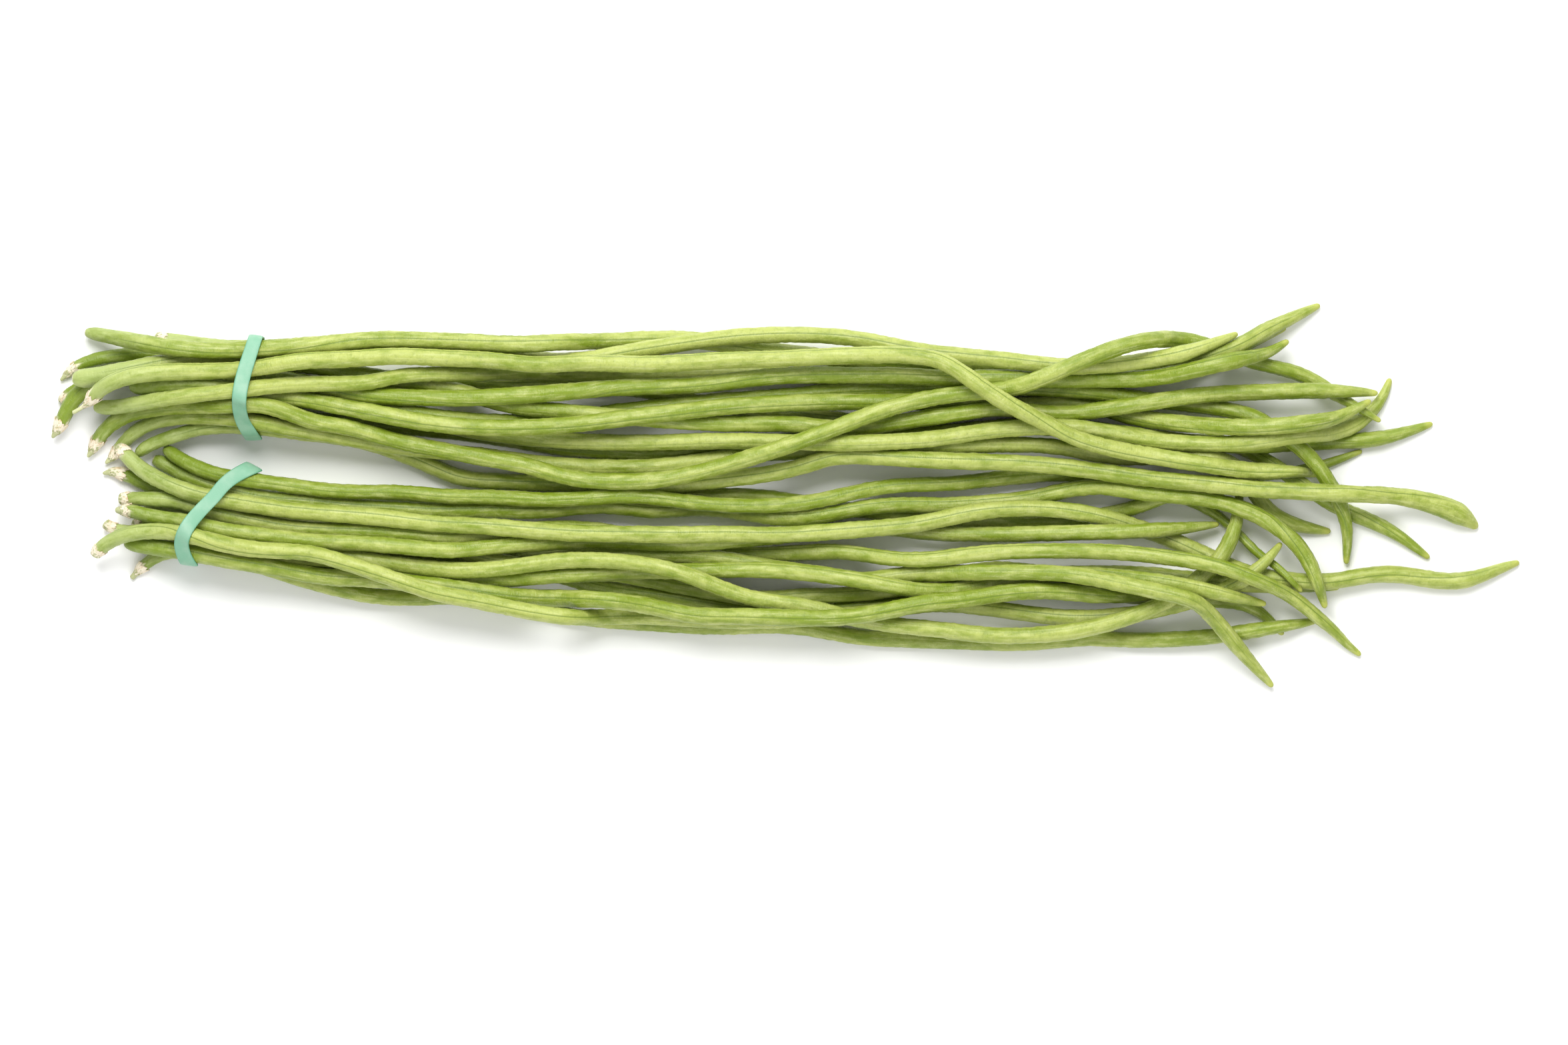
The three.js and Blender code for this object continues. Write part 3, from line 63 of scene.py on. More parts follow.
# Fine line through a pod's solid
LINE_POINTS = 2400
KNOT_GAP = 1.5 * MM  # sections nearer to each other than this give no knot of the line
RADIUS_BLUR = 2.5 * MM  # how far to each side the radius is smoothed
RADIUS_SHARP = 5 * MM  # reach of both ends within which the smoothing fades out
SEAM_BLUR = 40  # points of the line to each side over which a seam's turns are smoothed
END_STATIONS = np.array([0.0, 0.05, 0.12, 0.25, 0.45, 0.7, 1.0, 1.4, 1.9, 2.5, 3.2, 4.0]) * MM

# Random numbers start from these, plus each piece's own number
POD_SEED, CALYX_SEED, LOWER_HANDFUL = 1000, 4000, 50

# Seeds in a pod: lowest and highest of each seeded draw, in mm, and of the size, a share
SEED_START = (16, 22)
SEED_SIZE = (0.35, 1)
SEED_WIDTH = (3.2, 4.4)
SEED_GAP = (9.5, 15)
SEED_FREE = 20 * MM  # no seed starts this near to the tip

# Skin
STEM_FADE = 14 * MM  # over these lengths at the two ends the seeds, waves and seams fade in
TIP_FADE = 20 * MM
SEAM_CROWDING = 0.42  # how close together the points stand at the seams, from 0 for even to 0.5
SEAM_SWELL = 0.45  # how far a seed swells the pod at its seams, as a share of its most
# Ripples: how many, shortest and longest, and the most waves that one has round the pod
SLOW_WAVES = (5, 45 * MM, 110 * MM, 0)
WRINKLES = (26, 2.6 * MM, 6 * MM, 3)
SLOW_HEIGHT = 0.015  # share of the radius
SWELL_DEEPEST, SWELL_HIGHEST = 0.05, 0.045  # limits of the swelling, as shares of the radius
SKIN_LEVEL = 0.985  # share of the pod's radius that the skin starts from
GROOVE_WIDTH = 0.45 * MM
BACK_SEAM = 0.6  # depth of the groove across from the dark seam, as a share of that seam's
SEAM_LIMIT = 0.95  # the dark seam comes no nearer than this to the pod's far and near edge
SEAM_LINE_WIDTH = 0.2 * MM
SEAM_STRENGTHS = [0.25, 0.5, 0.8]  # drawn for pods whose seam isn't listed
SEAM_IN, SEAM_OUT = (0.02, 0.06), (0, 0.05)  # shares of the length over which the line fades at the two ends
NOISE_REACH = 900  # mm, over which the pods' places in the skin's noise are drawn
FRESH_SKIN = (8 * MM, 60 * MM)  # where the stem end's own colour starts and has stopped fading
FREE_END = 0.3  # mm of dried skin on a stem end without a calyx

# Rubber bands
BAND_WIDTH = 6 * MM
BAND_SHARE = 0.9  # width as stretched, as a share of the solid's
BAND_ROWS, BAND_AROUND = 300, 28
BAND_WRAP = 6  # sections repeated past each end, so that the spline closes smoothly
BAND_BOW = 0.12 * MM
BAND_TWIST = 0.05 * MM

# Calyxes
LOBES = 5
CALYX_ROWS, CALYX_AROUND = 15, 96
LONG_CALYX = 5.2 * MM  # a calyx longer than this starts further from the end of its stalk
CALYX_SINK = 0.05 * MM  # how deep its inner sheet lies in the pod

# Stage, in metres
TABLE_HALF = 40.0
SENSOR = 36  # mm
# Soft round lights: place, diameter and the name of the setting for the power
LIGHTS = {
    "far window": ((-0.2, 1.15, 1.75), 1.3, "far_power"),
    "near window": ((0.1, -1.6, 1.45), 1.4, "near_power"),
    "rim": ((0.0, 2.4, 0.55), 1.2, "rim_power"),
}

# Stem ends: length of the pedicel and length of the calyx, in mm.
HEADS = {
    "upper_pod_02": (5.5, 5),
    "upper_pod_05": (1, 6.5),
    "upper_pod_07": (1, 6),
    "upper_pod_08": (0.3, 4),
    "upper_pod_09": (1, 7),
    "upper_pod_10": (0.3, 4),
    "upper_pod_12": (1, 6),
    "lower_pod_03": (0.3, 4),
    "lower_pod_04": (1, 7),
    "lower_pod_05": (0.3, 4),
    "lower_pod_06": (0.4, 5.5),
    "lower_pod_07": (0.3, 4.5),
    "lower_pod_08": (0.3, 4),
    "lower_pod_10": (2.8, 4),
    "lower_pod_11": (0.3, 3.5),
}

# Pods whose skin is lighter (above 0) or darker (below 0) than most.
TONES = {
    "upper_pod_02": 0.7,
    "upper_pod_04": 1.0,
    "upper_pod_07": -0.8,
    "upper_pod_09": -0.9,
    "upper_pod_10": 0.6,
    "upper_pod_13": -0.8,
    "lower_pod_01": -0.7,
    "lower_pod_03": 0.6,
    "lower_pod_04": -0.4,
    "lower_pod_08": 0.5,
    "lower_pod_14": -0.8,
}

# Where the dark seam runs on each pod, seen from above: pairs of x in mm and height across the pod, where
# 1 is its far edge, 0 its middle and -1 its near edge.
SEAMS = {
    "upper_pod_01": [
        (-240, -0.1), (-200, -0.4), (-185, -0.45), (-165, 0.15), (-120, 0.15), (-100, 0.4), (-75, 0.15),
        (20, -0.2), (130, -0.45), (145, -0.35), (165, 0.1),
    ],
    "upper_pod_02": [(-250, 0.85), (20, 0.8), (80, 0.6), (105, -0.3), (150, -0.35), (200, 0)],
    "upper_pod_04": [(-200, 0.3), (-55, 0.05), (60, 0.3)],
    "upper_pod_06": [
        (-160, -0.3), (-100, -0.2), (-75, -0.35), (60, -0.3), (150, -0.5), (175, -0.65), (210, -0.3),
    ],
    "upper_pod_07": [(-200, 0.2), (-100, -0.9), (-75, -0.9), (-60, -0.35), (40, 0.2), (145, 0.7), (170, 0.6)],
    "upper_pod_09": [(-200, 0.2), (100, -0.4), (205, -0.85), (210, 0)],
    "upper_pod_11": [(-200, 0), (200, 0.4), (210, 0.7), (225, 0.3), (250, 0.8)],
    "upper_pod_14": [(-100, 0.3), (215, 0.35), (230, -0.2)],
    "lower_pod_02": [(-200, 0.2), (165, 0.55), (180, 0.75), (190, -0.15), (200, -0.35)],
    "lower_pod_03": [(-230, 0.4), (100, 0.2), (215, -0.2), (235, 0), (250, 0.5)],
    "lower_pod_05": [(-200, 0.3), (120, 0.8), (150, 0.65), (200, 0.3)],
    "lower_pod_08": [
        (-260, 0.8), (-230, 0.6), (-222, -0.1), (-212, -0.6), (-190, -0.55), (-150, -0.2), (0, 0.3),
    ],
    "lower_pod_09": [(-200, 0.2), (85, -0.2), (125, 0.05), (180, 0)],
}


def linear(red, green, blue):
    """A colour given in the usual 0 to 255 steps, as the linear values that shaders use."""
    share = np.array([red, green, blue]) / 255
    return tuple(np.where(share <= 0.04045, share / 12.92, ((share + 0.055) / 1.055) ** 2.4))


# ---------------------------------------------------------------- lines through the solids


def merged(node):
    """A node's corners without doubles, to 0.1 micrometre, and the set of each one's neighbours."""
    mesh = node.data
    places = np.empty(len(mesh.vertices) * 3, np.float32)
    mesh.vertices.foreach_get("co", places)
    points, index = np.unique(np.round(places.reshape(-1, 3), 7), axis=0, return_inverse=True)
    edges = np.empty(len(mesh.edges) * 2, np.int32)
    mesh.edges.foreach_get("vertices", edges)
    pairs = index.reshape(-1)[edges].reshape(-1, 2)
    near = [set() for _ in points]
    for a, b in pairs:
        if a != b:
            near[a].add(int(b))
            near[b].add(int(a))
    return points.astype(float), near


def rings(name):
    """Sections of a pod's solid from stem to tip: their middles and their radii, with both end points.

    A section is all corners that lie the same number of edges away from the stem end's middle point. That is
    the first corner along x from which equal sections follow, up to a single corner at the tip.
    """
    points, near = merged(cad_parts[name])
    for start in np.argsort(points[:, 0]):
        levels, seen = [[int(start)]], {int(start)}
        while levels[-1]:
            after = sorted({b for a in levels[-1] for b in near[a]} - seen)
            seen.update(after)
            levels.append(after)
        levels.pop()
        if len(levels) > 4 and len(levels[-1]) == 1 and len({len(ring) for ring in levels[1:-1]}) == 1:
            break
    else:
        raise RuntimeError(f"{name} has no end point with sections after it")
    middles = np.array([points[ring].mean(0) for ring in levels])
    radii = np.array([np.linalg.norm(points[ring] - points[ring].mean(0), axis=1).mean() for ring in levels])
    return middles, radii / CORNER


def spline(knots, values, at):
    """Natural cubic spline: cubics that meet with equal slope and curvature, and end without curvature."""
    gap = np.diff(knots)
    slope = np.diff(values, axis=0) / gap[:, None]
    count = len(knots)
    system = np.eye(count)
    right = np.zeros((count, values.shape[1]))
    inner = np.arange(1, count - 1)
    system[inner, inner - 1] = gap[:-1]
    system[inner, inner] = 2 * (gap[:-1] + gap[1:])
    system[inner, inner + 1] = gap[1:]
    right[inner] = 6 * np.diff(slope, axis=0)
    bend = np.linalg.solve(system, right)
    k = np.clip(np.searchsorted(knots, at) - 1, 0, count - 2)
    h = gap[k][:, None]
    a = (knots[k + 1] - at)[:, None] / h
    b = 1 - a
    smooth = ((a**3 - a) * bend[k] + (b**3 - b) * bend[k + 1]) * h**2 / 6
    return a * values[k] + b * values[k + 1] + smooth


def smoothstep(low, high, value):
    """0 below low, 1 above high, and 3t^2 - 2t^3 between them."""
    t = np.clip((value - low) / (high - low), 0, 1)
    return t * t * (3 - 2 * t)


def distances(points):
    """Distance along a line of points at each of them."""
    return np.concatenate([[0], np.cumsum(np.linalg.norm(np.diff(points, axis=0), axis=1))])


def blurred(values, half):
    """Values smoothed by a mean with Hann weights that takes in half places to each side."""
    kernel = np.hanning(2 * half + 1)
    return np.convolve(np.pad(values, half, mode="edge"), kernel / kernel.sum(), "valid")


def at_distance(where, run, values):
    """Vectors at distances along a line, straight between the places where they are given."""
    return np.stack([np.interp(where, run, values[:, k]) for k in range(3)], axis=-1)


def pod_line(name):
    """A pod's middle line as arrays: distance from the stem end, point, and the pod's radius there.

    The points are a natural spline through the middles of the solid's sections, raised where the pod would
    reach below the table. The radius is straight between the sections and smoothed away from the ends, and it
    closes in a dome at both ends.
    """
    middles, radii = rings(name)
    knots = distances(middles)
    fine = np.linspace(0, knots[-1], LINE_POINTS)
    keep = np.ones(len(knots), bool)
    keep[1:-1] = np.minimum(np.diff(knots)[:-1], np.diff(knots)[1:]) > KNOT_GAP
    points = spline(knots[keep], middles[keep], fine)
    run = distances(points)
    radius = np.interp(fine, knots[1:-1], radii[1:-1])
    smooth = blurred(radius, int(RADIUS_BLUR / fine[1]))
    ends = smoothstep(0, RADIUS_SHARP, np.minimum(fine, fine[-1] - fine))
    radius = radius * (1 - ends) + smooth * ends
    points[:, 2] = np.maximum(points[:, 2], radius)
    return run, points, radius * rounding(run, STEM_CAP) * rounding(run[-1] - run, TIP_CAP)


def rounding(distance, cap):
    """Share of the radius left at a distance from an end that closes in a dome: sqrt(1 - (1 - d / cap)^2)."""
    return np.sqrt(np.clip(1 - np.clip(1 - distance / cap, 0, 1) ** 2, 0, 1))


# ---------------------------------------------------------------- pod surface


def ripples(rng, along, around, count, shortest, longest, turns):
    """A sum of cosines in the distance along the pod and the angle round it, with seeded lengths and phases.

    Each is cos(2 pi s / length + turn a + phase), and the sum is scaled so that its usual size is 1.
    """
    total = np.zeros(np.broadcast(along, around).shape)
    for _ in range(count):
        length = math.exp(rng.uniform(math.log(shortest), math.log(longest)))
        turn = int(rng.integers(-turns, turns + 1))
        total += np.cos(2 * math.pi * along / length + turn * around + rng.uniform(0, 2 * math.pi))
    return total / math.sqrt(count / 2)


def frames(points):
    """Unit vectors along, to the side (level) and up from a line: side = z x along, up = along x side."""
    along = np.gradient(points, axis=0)
    along /= np.linalg.norm(along, axis=1, keepdims=True)
    side = np.cross([0, 0, 1.0], along)
    side /= np.linalg.norm(side, axis=1, keepdims=True)
    return along, side, np.cross(along, side)


def seam_angle(name, x, rng):
    """Angle of the dark seam round the pod, from the side: the arc cosine of its height across the pod.

    Where the height isn't given it is base + wave sin(2 pi x / length + phase), with seeded values.
    """
    if name in SEAMS:
        knots = np.array(SEAMS[name], float)
        height = np.interp(x, knots[:, 0] * MM, knots[:, 1])
    else:
        base = rng.uniform(-0.5, 0.6)
        wave = rng.uniform(0.1, 0.35)
        length = rng.uniform(0.2, 0.5)
        phase = rng.uniform(0, 6)
        height = base + wave * np.sin(2 * math.pi * x / length + phase)
    return np.arccos(np.clip(blurred(height, SEAM_BLUR), -SEAM_LIMIT, SEAM_LIMIT))


def station_distances(length, step):
    """Distances along a pod: close together at its two ends, and one step apart between them."""
    end = END_STATIONS[-1]
    middle = np.linspace(end, length - end, int((length - 2 * end) / step) + 1)
    return np.concatenate([END_STATIONS, middle[1:-1], length - END_STATIONS[::-1]])


def ring_angles(count):
    """Angles round the pod from its dark seam: t - crowding sin 2t, close together at both its seams."""
    t = np.linspace(0, 2 * math.pi, count, endpoint=False)
    return t - SEAM_CROWDING * np.sin(2 * t)


def tube_faces(rows, count):
    """Quads between neighbouring rings, with a fan to a pole at each end. The poles come last."""
    i = np.arange(count)
    j = (i + 1) % count
    start = (np.arange(rows - 1) * count)[:, None]
    quads = np.stack([start + i, start + count + i, start + count + j, start + j], axis=-1).reshape(-1, 4)
    first, last = rows * count, rows * count + 1
    end = (rows - 1) * count
    stem_fan = np.stack([np.full(count, first), i, j], axis=-1)
    tip_fan = np.stack([np.full(count, last), end + j, end + i], axis=-1)
    return quads.tolist() + stem_fan.tolist() + tip_fan.tolist()


def put_mesh(name, points, faces, marks):
    """A mesh object at the origin with its place in its points, smooth faces, and the marks as attributes."""
    mesh = bpy.data.meshes.new(name)
    mesh.from_pydata(points.tolist(), [], faces)
    mesh.polygons.foreach_set("use_smooth", np.ones(len(mesh.polygons), bool))
    for key, values in marks.items():
        kind, field = ("FLOAT_VECTOR", "vector") if values.ndim == 2 else ("FLOAT", "value")
        attribute = mesh.attributes.new(key, kind, "POINT")
        attribute.data.foreach_set(field, values.astype(np.float32).ravel())
    mesh.update()
    mesh.validate()
    obj = bpy.data.objects.new(name, mesh)
    bpy.context.scene.collection.objects.link(obj)
    return obj


def bell(distance, width):
    """A bell curve exp(-(distance / width)^2): 1 at distance 0."""
    return np.exp(-((distance / width) ** 2))


def seed_row(rng, s, length):
    """Swelling by the row of seeds: the sum of size exp(-((s - place) / width)^2), less its mean."""
    swell = np.zeros_like(s)
    place = rng.uniform(*SEED_START) * MM
    while place < length - SEED_FREE:
        size = rng.uniform(*SEED_SIZE)
        width = rng.uniform(*SEED_WIDTH) * MM
        swell += size * bell(s - place, width)
        place += rng.uniform(*SEED_GAP) * MM
    return swell - swell.mean()


def dried(name, along, angle, rng):
    """Share of dried skin: 0.4 on the stalk, 1 under the calyx up to a ragged edge, and 0 past it."""
    reach = (sum(HEADS[name]) if name in HEADS else FREE_END) * MM
    ragged = 1 + 0.22 * np.sin(3 * angle + rng.uniform(0, 6)) + 0.12 * np.sin(7 * angle + rng.uniform(0, 6))
    dry = 1 - smoothstep(0.85 * reach * ragged, reach * ragged + 0.5 * MM, along)
    return dry * (0.4 + 0.6 * smoothstep(0.32 * reach, 0.5 * reach, along))


def pod_piece(name, number, look):
    """One pod: centre(s) + R(s, a) (cos a side + sin a up).

    R = radius (level + seeds + slow waves) + wrinkles - grooves, where the seeds swell the pod most halfway
    between its two seams, and a groove takes depth exp(-(d / width)^2) at the distance d round from a seam.
    """
    rng = np.random.default_rng(POD_SEED + number)
    run, line, radius = pod_line(name)
    length = run[-1]
    s = station_distances(length, look.step)
    _, side, up = frames(line)
    centre, side, up = (at_distance(s, run, values) for values in (line, side, up))
    radius = np.interp(s, run, radius)[:, None]
    seam = np.interp(s, run, seam_angle(name, line[:, 0], rng))
    from_seam = ring_angles(look.around)[None, :]
    angle = seam[:, None] + from_seam
    along = s[:, None]

    inner = smoothstep(0, STEM_FADE, s) * smoothstep(0, TIP_FADE, length - s)
    seeds = seed_row(rng, s, length) * inner
    inner = inner[:, None]
    valves = SEAM_SWELL + (1 - SEAM_SWELL) * np.sin(from_seam) ** 2
    slow = ripples(rng, along, angle, *SLOW_WAVES) * SLOW_HEIGHT
    wrinkles = ripples(rng, along, from_seam, *WRINKLES) * inner
    swell = look.seed_height * seeds[:, None] * valves + slow * inner
    out = radius * (SKIN_LEVEL + np.clip(swell, -SWELL_DEEPEST, SWELL_HIGHEST))
    out = out + look.wrinkle_height * wrinkles
    turn = np.abs(np.arctan2(np.sin(from_seam), np.cos(from_seam)))
    from_line = turn * radius
    groove = look.seam_depth * bell(from_line, GROOVE_WIDTH)
    back = BACK_SEAM * look.seam_depth * bell((math.pi - turn) * radius, GROOVE_WIDTH)
    out = out - (groove + back) * inner**0.5
    ray = np.cos(angle)[..., None] * side[:, None] + np.sin(angle)[..., None] * up[:, None]
    surface = centre[:, None] + out[..., None] * ray
    points = np.concatenate([surface[1:-1].reshape(-1, 3), centre[[0, -1]]])
    points[:, 2] = np.maximum(points[:, 2], 0)
    rows, count = len(s) - 2, look.around

    def spread(values):
        """A value on every ring point, then the values at the two poles."""
        grid = np.broadcast_to(values, (len(s), count))
        return np.concatenate([grid[1:-1].ravel(), [grid[0, 0], grid[-1, 0]]])

    dry = dried(name, along, angle, rng)
    # The pod laid out straight for the skin's noise, in mm, at a place of its own along x
    straight = (along, np.cos(from_seam) * radius, np.sin(from_seam) * radius)
    lie = np.stack([spread(values) / MM for values in straight], axis=1)
    lie += rng.uniform(0, NOISE_REACH, 3)[None, :] * np.array([1, 0, 0])
    strength = 1.0 if name in SEAMS else rng.choice(SEAM_STRENGTHS)
    seam_line = strength * bell(from_line, SEAM_LINE_WIDTH)
    seam_line = seam_line * smoothstep(*SEAM_IN, along / length) * smoothstep(*SEAM_OUT, 1 - along / length)
    marks = {
        "lie": lie,
        "seam": spread(seam_line),
        "fresh": spread(1 - smoothstep(*FRESH_SKIN, along)),
        "dry": spread(dry),
        "tip": spread(1 - smoothstep(0, look.tip_reach, length - along)),
        "swell": spread(swell / SWELL_DEEPEST),
        "tone": np.full(len(points), TONES.get(name, rng.uniform(-0.5, 0.5))),
    }
    pod = put_mesh(name + "_skin", points, tube_faces(rows, count), marks)
    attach(pod, "root")
    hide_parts(name)
    return pod


# ---------------------------------------------------------------- calyx


def calyx_piece(name, number, look):
    """A dried calyx: a cup over the pod's stem end whose edge runs out in pointed lobes.

    With t from 0 at the stalk to 1 at the edge, and a round the pod, a point lies at the distance
    start(a) + t (1.03 reach - start(a)) (1 + t lobes(a)) along the pod, where reach is the length of pedicel
    and calyx. The outer sheet stands thick outside the pod's radius there, flares as t^4 towards each lobe's
    point and is crumpled a little, and the inner sheet runs back just inside the pod's radius.
    """
    rng = np.random.default_rng(CALYX_SEED + number)
    run, line, radius = pod_line(name)
    pedicel, calyx = (v * MM for v in HEADS[name])
    _, side, up = frames(line)
    count, rows = CALYX_AROUND, CALYX_ROWS
    angle = np.linspace(0, 2 * math.pi, count, endpoint=False)[None, :]
    phase = rng.uniform(0, 2 * math.pi, 6)
    lobe = np.abs(np.sin(LOBES / 2 * angle + phase[0] + 0.4 * np.sin(angle + phase[1])))
    ragged = 0.06 * np.sin(11 * angle + phase[2]) + 0.05 * np.sin(17 * angle + phase[3])
    ragged = ragged + 0.16 * np.sin(angle + phase[4])
    lobes = look.lobe_reach * (lobe**1.2 - 0.75) + ragged
    t = np.linspace(0, 1, rows)[:, None]
    reach = pedicel + calyx
    start = max(pedicel * 0.9, 0.36 * reach if calyx > LONG_CALYX else 0.12 * reach)
    start = start * (1 + 0.15 * np.sin(2 * angle + phase[5]) + 0.1 * np.sin(5 * angle + phase[2]))
    s = start + t * (reach * 1.03 - start) * (1 + lobes * t)
    base = np.interp(s, run, radius)
    flare = look.calyx_flare * t**4 * (0.25 + 0.75 * lobe) * (0.6 + 0.6 * np.sin(3 * angle + phase[1]))
    crumple = 0.07 * MM * np.sin(13 * angle + 9 * t + phase[3]) * t
    crumple = crumple + 0.04 * MM * np.sin(29 * angle + phase[4])
    outer = base + look.calyx_thick * (0.55 + 0.45 * np.minimum(1, 4 * t)) + flare + crumple
    inner = base - CALYX_SINK + flare * 0.9 + crumple * t
    inner[0] = base[0] - 2 * CALYX_SINK

    def sheet(out, where):
        """Points at a distance out from the pod's line: centre + out (cos a side + sin a up)."""
        middle, level, rise = (at_distance(where, run, values) for values in (line, side, up))
        return middle + out[..., None] * (np.cos(angle)[..., None] * level + np.sin(angle)[..., None] * rise)

    points = np.concatenate([sheet(outer, s), sheet(inner, s)[::-1]]).reshape(-1, 3)
    points[:, 2] = np.maximum(points[:, 2], 0)
    i = np.arange(count)
    j = (i + 1) % count
    ring = np.arange(2 * rows)[:, None] * count
    after = (np.arange(1, 2 * rows + 1)[:, None] % (2 * rows)) * count
    quads = np.stack([ring + i, after + i, after + j, ring + j], axis=-1).reshape(-1, 4)
    share = np.broadcast_to(t, (rows, count))
    share = np.concatenate([share, share[::-1]]).ravel()
    # The cup laid out straight for its noise, in mm: 5 long and 3 from its middle, each cup 31 further on
    round_cup = [np.tile(wave(angle[0]) * 3, 2 * rows) for wave in (np.cos, np.sin)]
    marks = {"lie": np.stack([share * 5 + number * 31, *round_cup], axis=1), "rim": share}
    cup = put_mesh(name + "_calyx", points, quads.tolist(), marks)
    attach(cup, "root")
    return cup


# ---------------------------------------------------------------- bands


def band_sections(name):
    """Sections of a band's solid in order round its loop: middle, vector across, unit vector out, as arrays.

    A section has four corners. The two corners of one edge are each other's nearest, and the two edges of one
    section are joined by exactly two lines. The vector across is the one between the edges, over the width.
    """
    points, near = merged(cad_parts[name])
    pairs, edge_of = [], {}
    for a, around in enumerate(near):
        b = min(around, key=lambda other: np.linalg.norm(points[a] - points[other]))
        if a < b:
            edge_of[a] = edge_of[b] = len(pairs)
            pairs.append((a, b))
    count = len(pairs)
    links = np.zeros((count, count), int)
    for a, around in enumerate(near):
        for b in around:
            links[edge_of[a], edge_of[b]] += edge_of[a] != edge_of[b]
    middles = np.array([(points[a] + points[b]) / 2 for a, b in pairs])
    level = np.abs(middles[:, None, 2] - middles[None, :, 2])
    partner = np.argmin(level + np.where(links == 2, 0, 1), axis=1)
    if not np.array_equal(partner[partner], np.arange(count)):
        raise RuntimeError(f"{name} has edges that don't pair up")
    left = {k for k in range(count) if k < partner[k]}
    centres = (middles + middles[partner]) / 2
    order = [min(left)]
    left.discard(order[0])
    while left:
        order.append(min(left, key=lambda k: np.linalg.norm(centres[k] - centres[order[-1]])))
        left.discard(order[-1])
    centres = centres[order]
    along = np.roll(centres, -1, axis=0) - np.roll(centres, 1, axis=0)
    across = (middles[partner[order]] - middles[order]) / BAND_WIDTH
    for k in range(1, len(order)):
        if across[k] @ across[k - 1] < 0:
            across[k] = -across[k]
    out = np.cross(along, across)
    out /= np.linalg.norm(out, axis=1, keepdims=True)
    out *= np.sign(((centres - centres.mean(0)) * out).sum())
    return centres, across, out


def band_piece(name, number, look):
    """A flat rubber ribbon round a handful: middle(u) + across(u) x(v) + out(u) y(v).

    x = width / 2 sign(cos v) |cos v|^0.4 and y = thickness / 2 sign(sin v) |sin v|^0.7, a rounded oblong,
    with bow (1 - (2x / width)^2) added to y. Its width and its twist change slowly along it.
    """
    centres, across, out = band_sections(name)
    tiled = [np.concatenate([v[-BAND_WRAP:], v, v[: BAND_WRAP + 1]]) for v in (centres, across, out)]
    knots = distances(tiled[0])
    start, end = knots[BAND_WRAP], knots[BAND_WRAP + len(centres)]
    rows, count = BAND_ROWS, BAND_AROUND
    at = np.linspace(start, end, rows, endpoint=False)
    middle, across, out = (spline(knots, v, at)[:, None] for v in tiled)
    turn = 2 * math.pi * (at - start)[:, None] / (end - start)
    angle = np.linspace(0, 2 * math.pi, count, endpoint=False)[None, :]
    width = BAND_WIDTH * (BAND_SHARE + 0.03 * np.sin(3 * turn + number))
    x = np.sign(np.cos(angle)) * np.abs(np.cos(angle)) ** 0.4 * width / 2
    y = np.sign(np.sin(angle)) * np.abs(np.sin(angle)) ** 0.7 * look.thickness / 2
    off = 2 * x / BAND_WIDTH
    y = y + BAND_BOW * (1 - off**2) + BAND_TWIST * np.sin(5 * turn + 2) * off
    points = middle + across * x[..., None] + out * y[..., None]
    i = np.arange(count)
    j = (i + 1) % count
    ring = np.arange(rows)[:, None] * count
    after = ((np.arange(rows) + 1) % rows)[:, None] * count
    quads = np.stack([ring + i, ring + j, after + j, after + i], axis=-1).reshape(-1, 4)
    # Painted shade: a share that rises towards the band's two rounded edges, where a deeper teal is laid on
    edge = smoothstep(0.72, 1.0, np.abs(off))
    marks = {"edge": np.broadcast_to(edge, (rows, count)).ravel()}
    band = put_mesh(name + "_rubber", points.reshape(-1, 3), quads.tolist(), marks)
    face_outwards(band)
    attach(band, "root")
    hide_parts(name)
    return band


def face_outwards(obj):
    """Turns a closed mesh's faces round where its signed volume, the sum of a . (b x c) / 6, is negative."""
    mesh = obj.data
    mesh.calc_loop_triangles()
    corners = np.empty(len(mesh.vertices) * 3, np.float32)
    mesh.vertices.foreach_get("co", corners)
    index = np.empty(len(mesh.loop_triangles) * 3, np.int32)
    mesh.loop_triangles.foreach_get("vertices", index)
    a, b, c = corners.reshape(-1, 3)[index.reshape(-1, 3)].transpose(1, 0, 2).astype(float)
    if (a * np.cross(b, c)).sum() < 0:
        mesh.flip_normals()


# ---------------------------------------------------------------- shader maths


class Value:
    """A value socket of a node tree. Arithmetic on it adds the Math nodes that it stands for."""

    def __init__(self, tree, socket):
        self.tree = tree
        self.socket = socket

    def math(self, operation, *others, clamp=False):
        """The result of a new Math node with these inputs."""
        node = self.tree.nodes.new("ShaderNodeMath")
        node.operation = operation
        node.use_clamp = clamp
        for slot, other in zip(node.inputs, others):
            if isinstance(other, Value):
                self.tree.links.new(other.socket, slot)
            else:
                slot.default_value = other
        return Value(self.tree, node.outputs[0])

    def __add__(self, other):
        return self.math("ADD", self, other)

    def __sub__(self, other):
        return self.math("SUBTRACT", self, other)

    def __rsub__(self, other):
        return self.math("SUBTRACT", other, self)

    def __mul__(self, other):
        return self.math("MULTIPLY", self, other)

    __radd__ = __add__
    __rmul__ = __mul__

    def held(self):
        """The value kept between 0 and 1."""
        return self.math("MULTIPLY", self, 1.0, clamp=True)


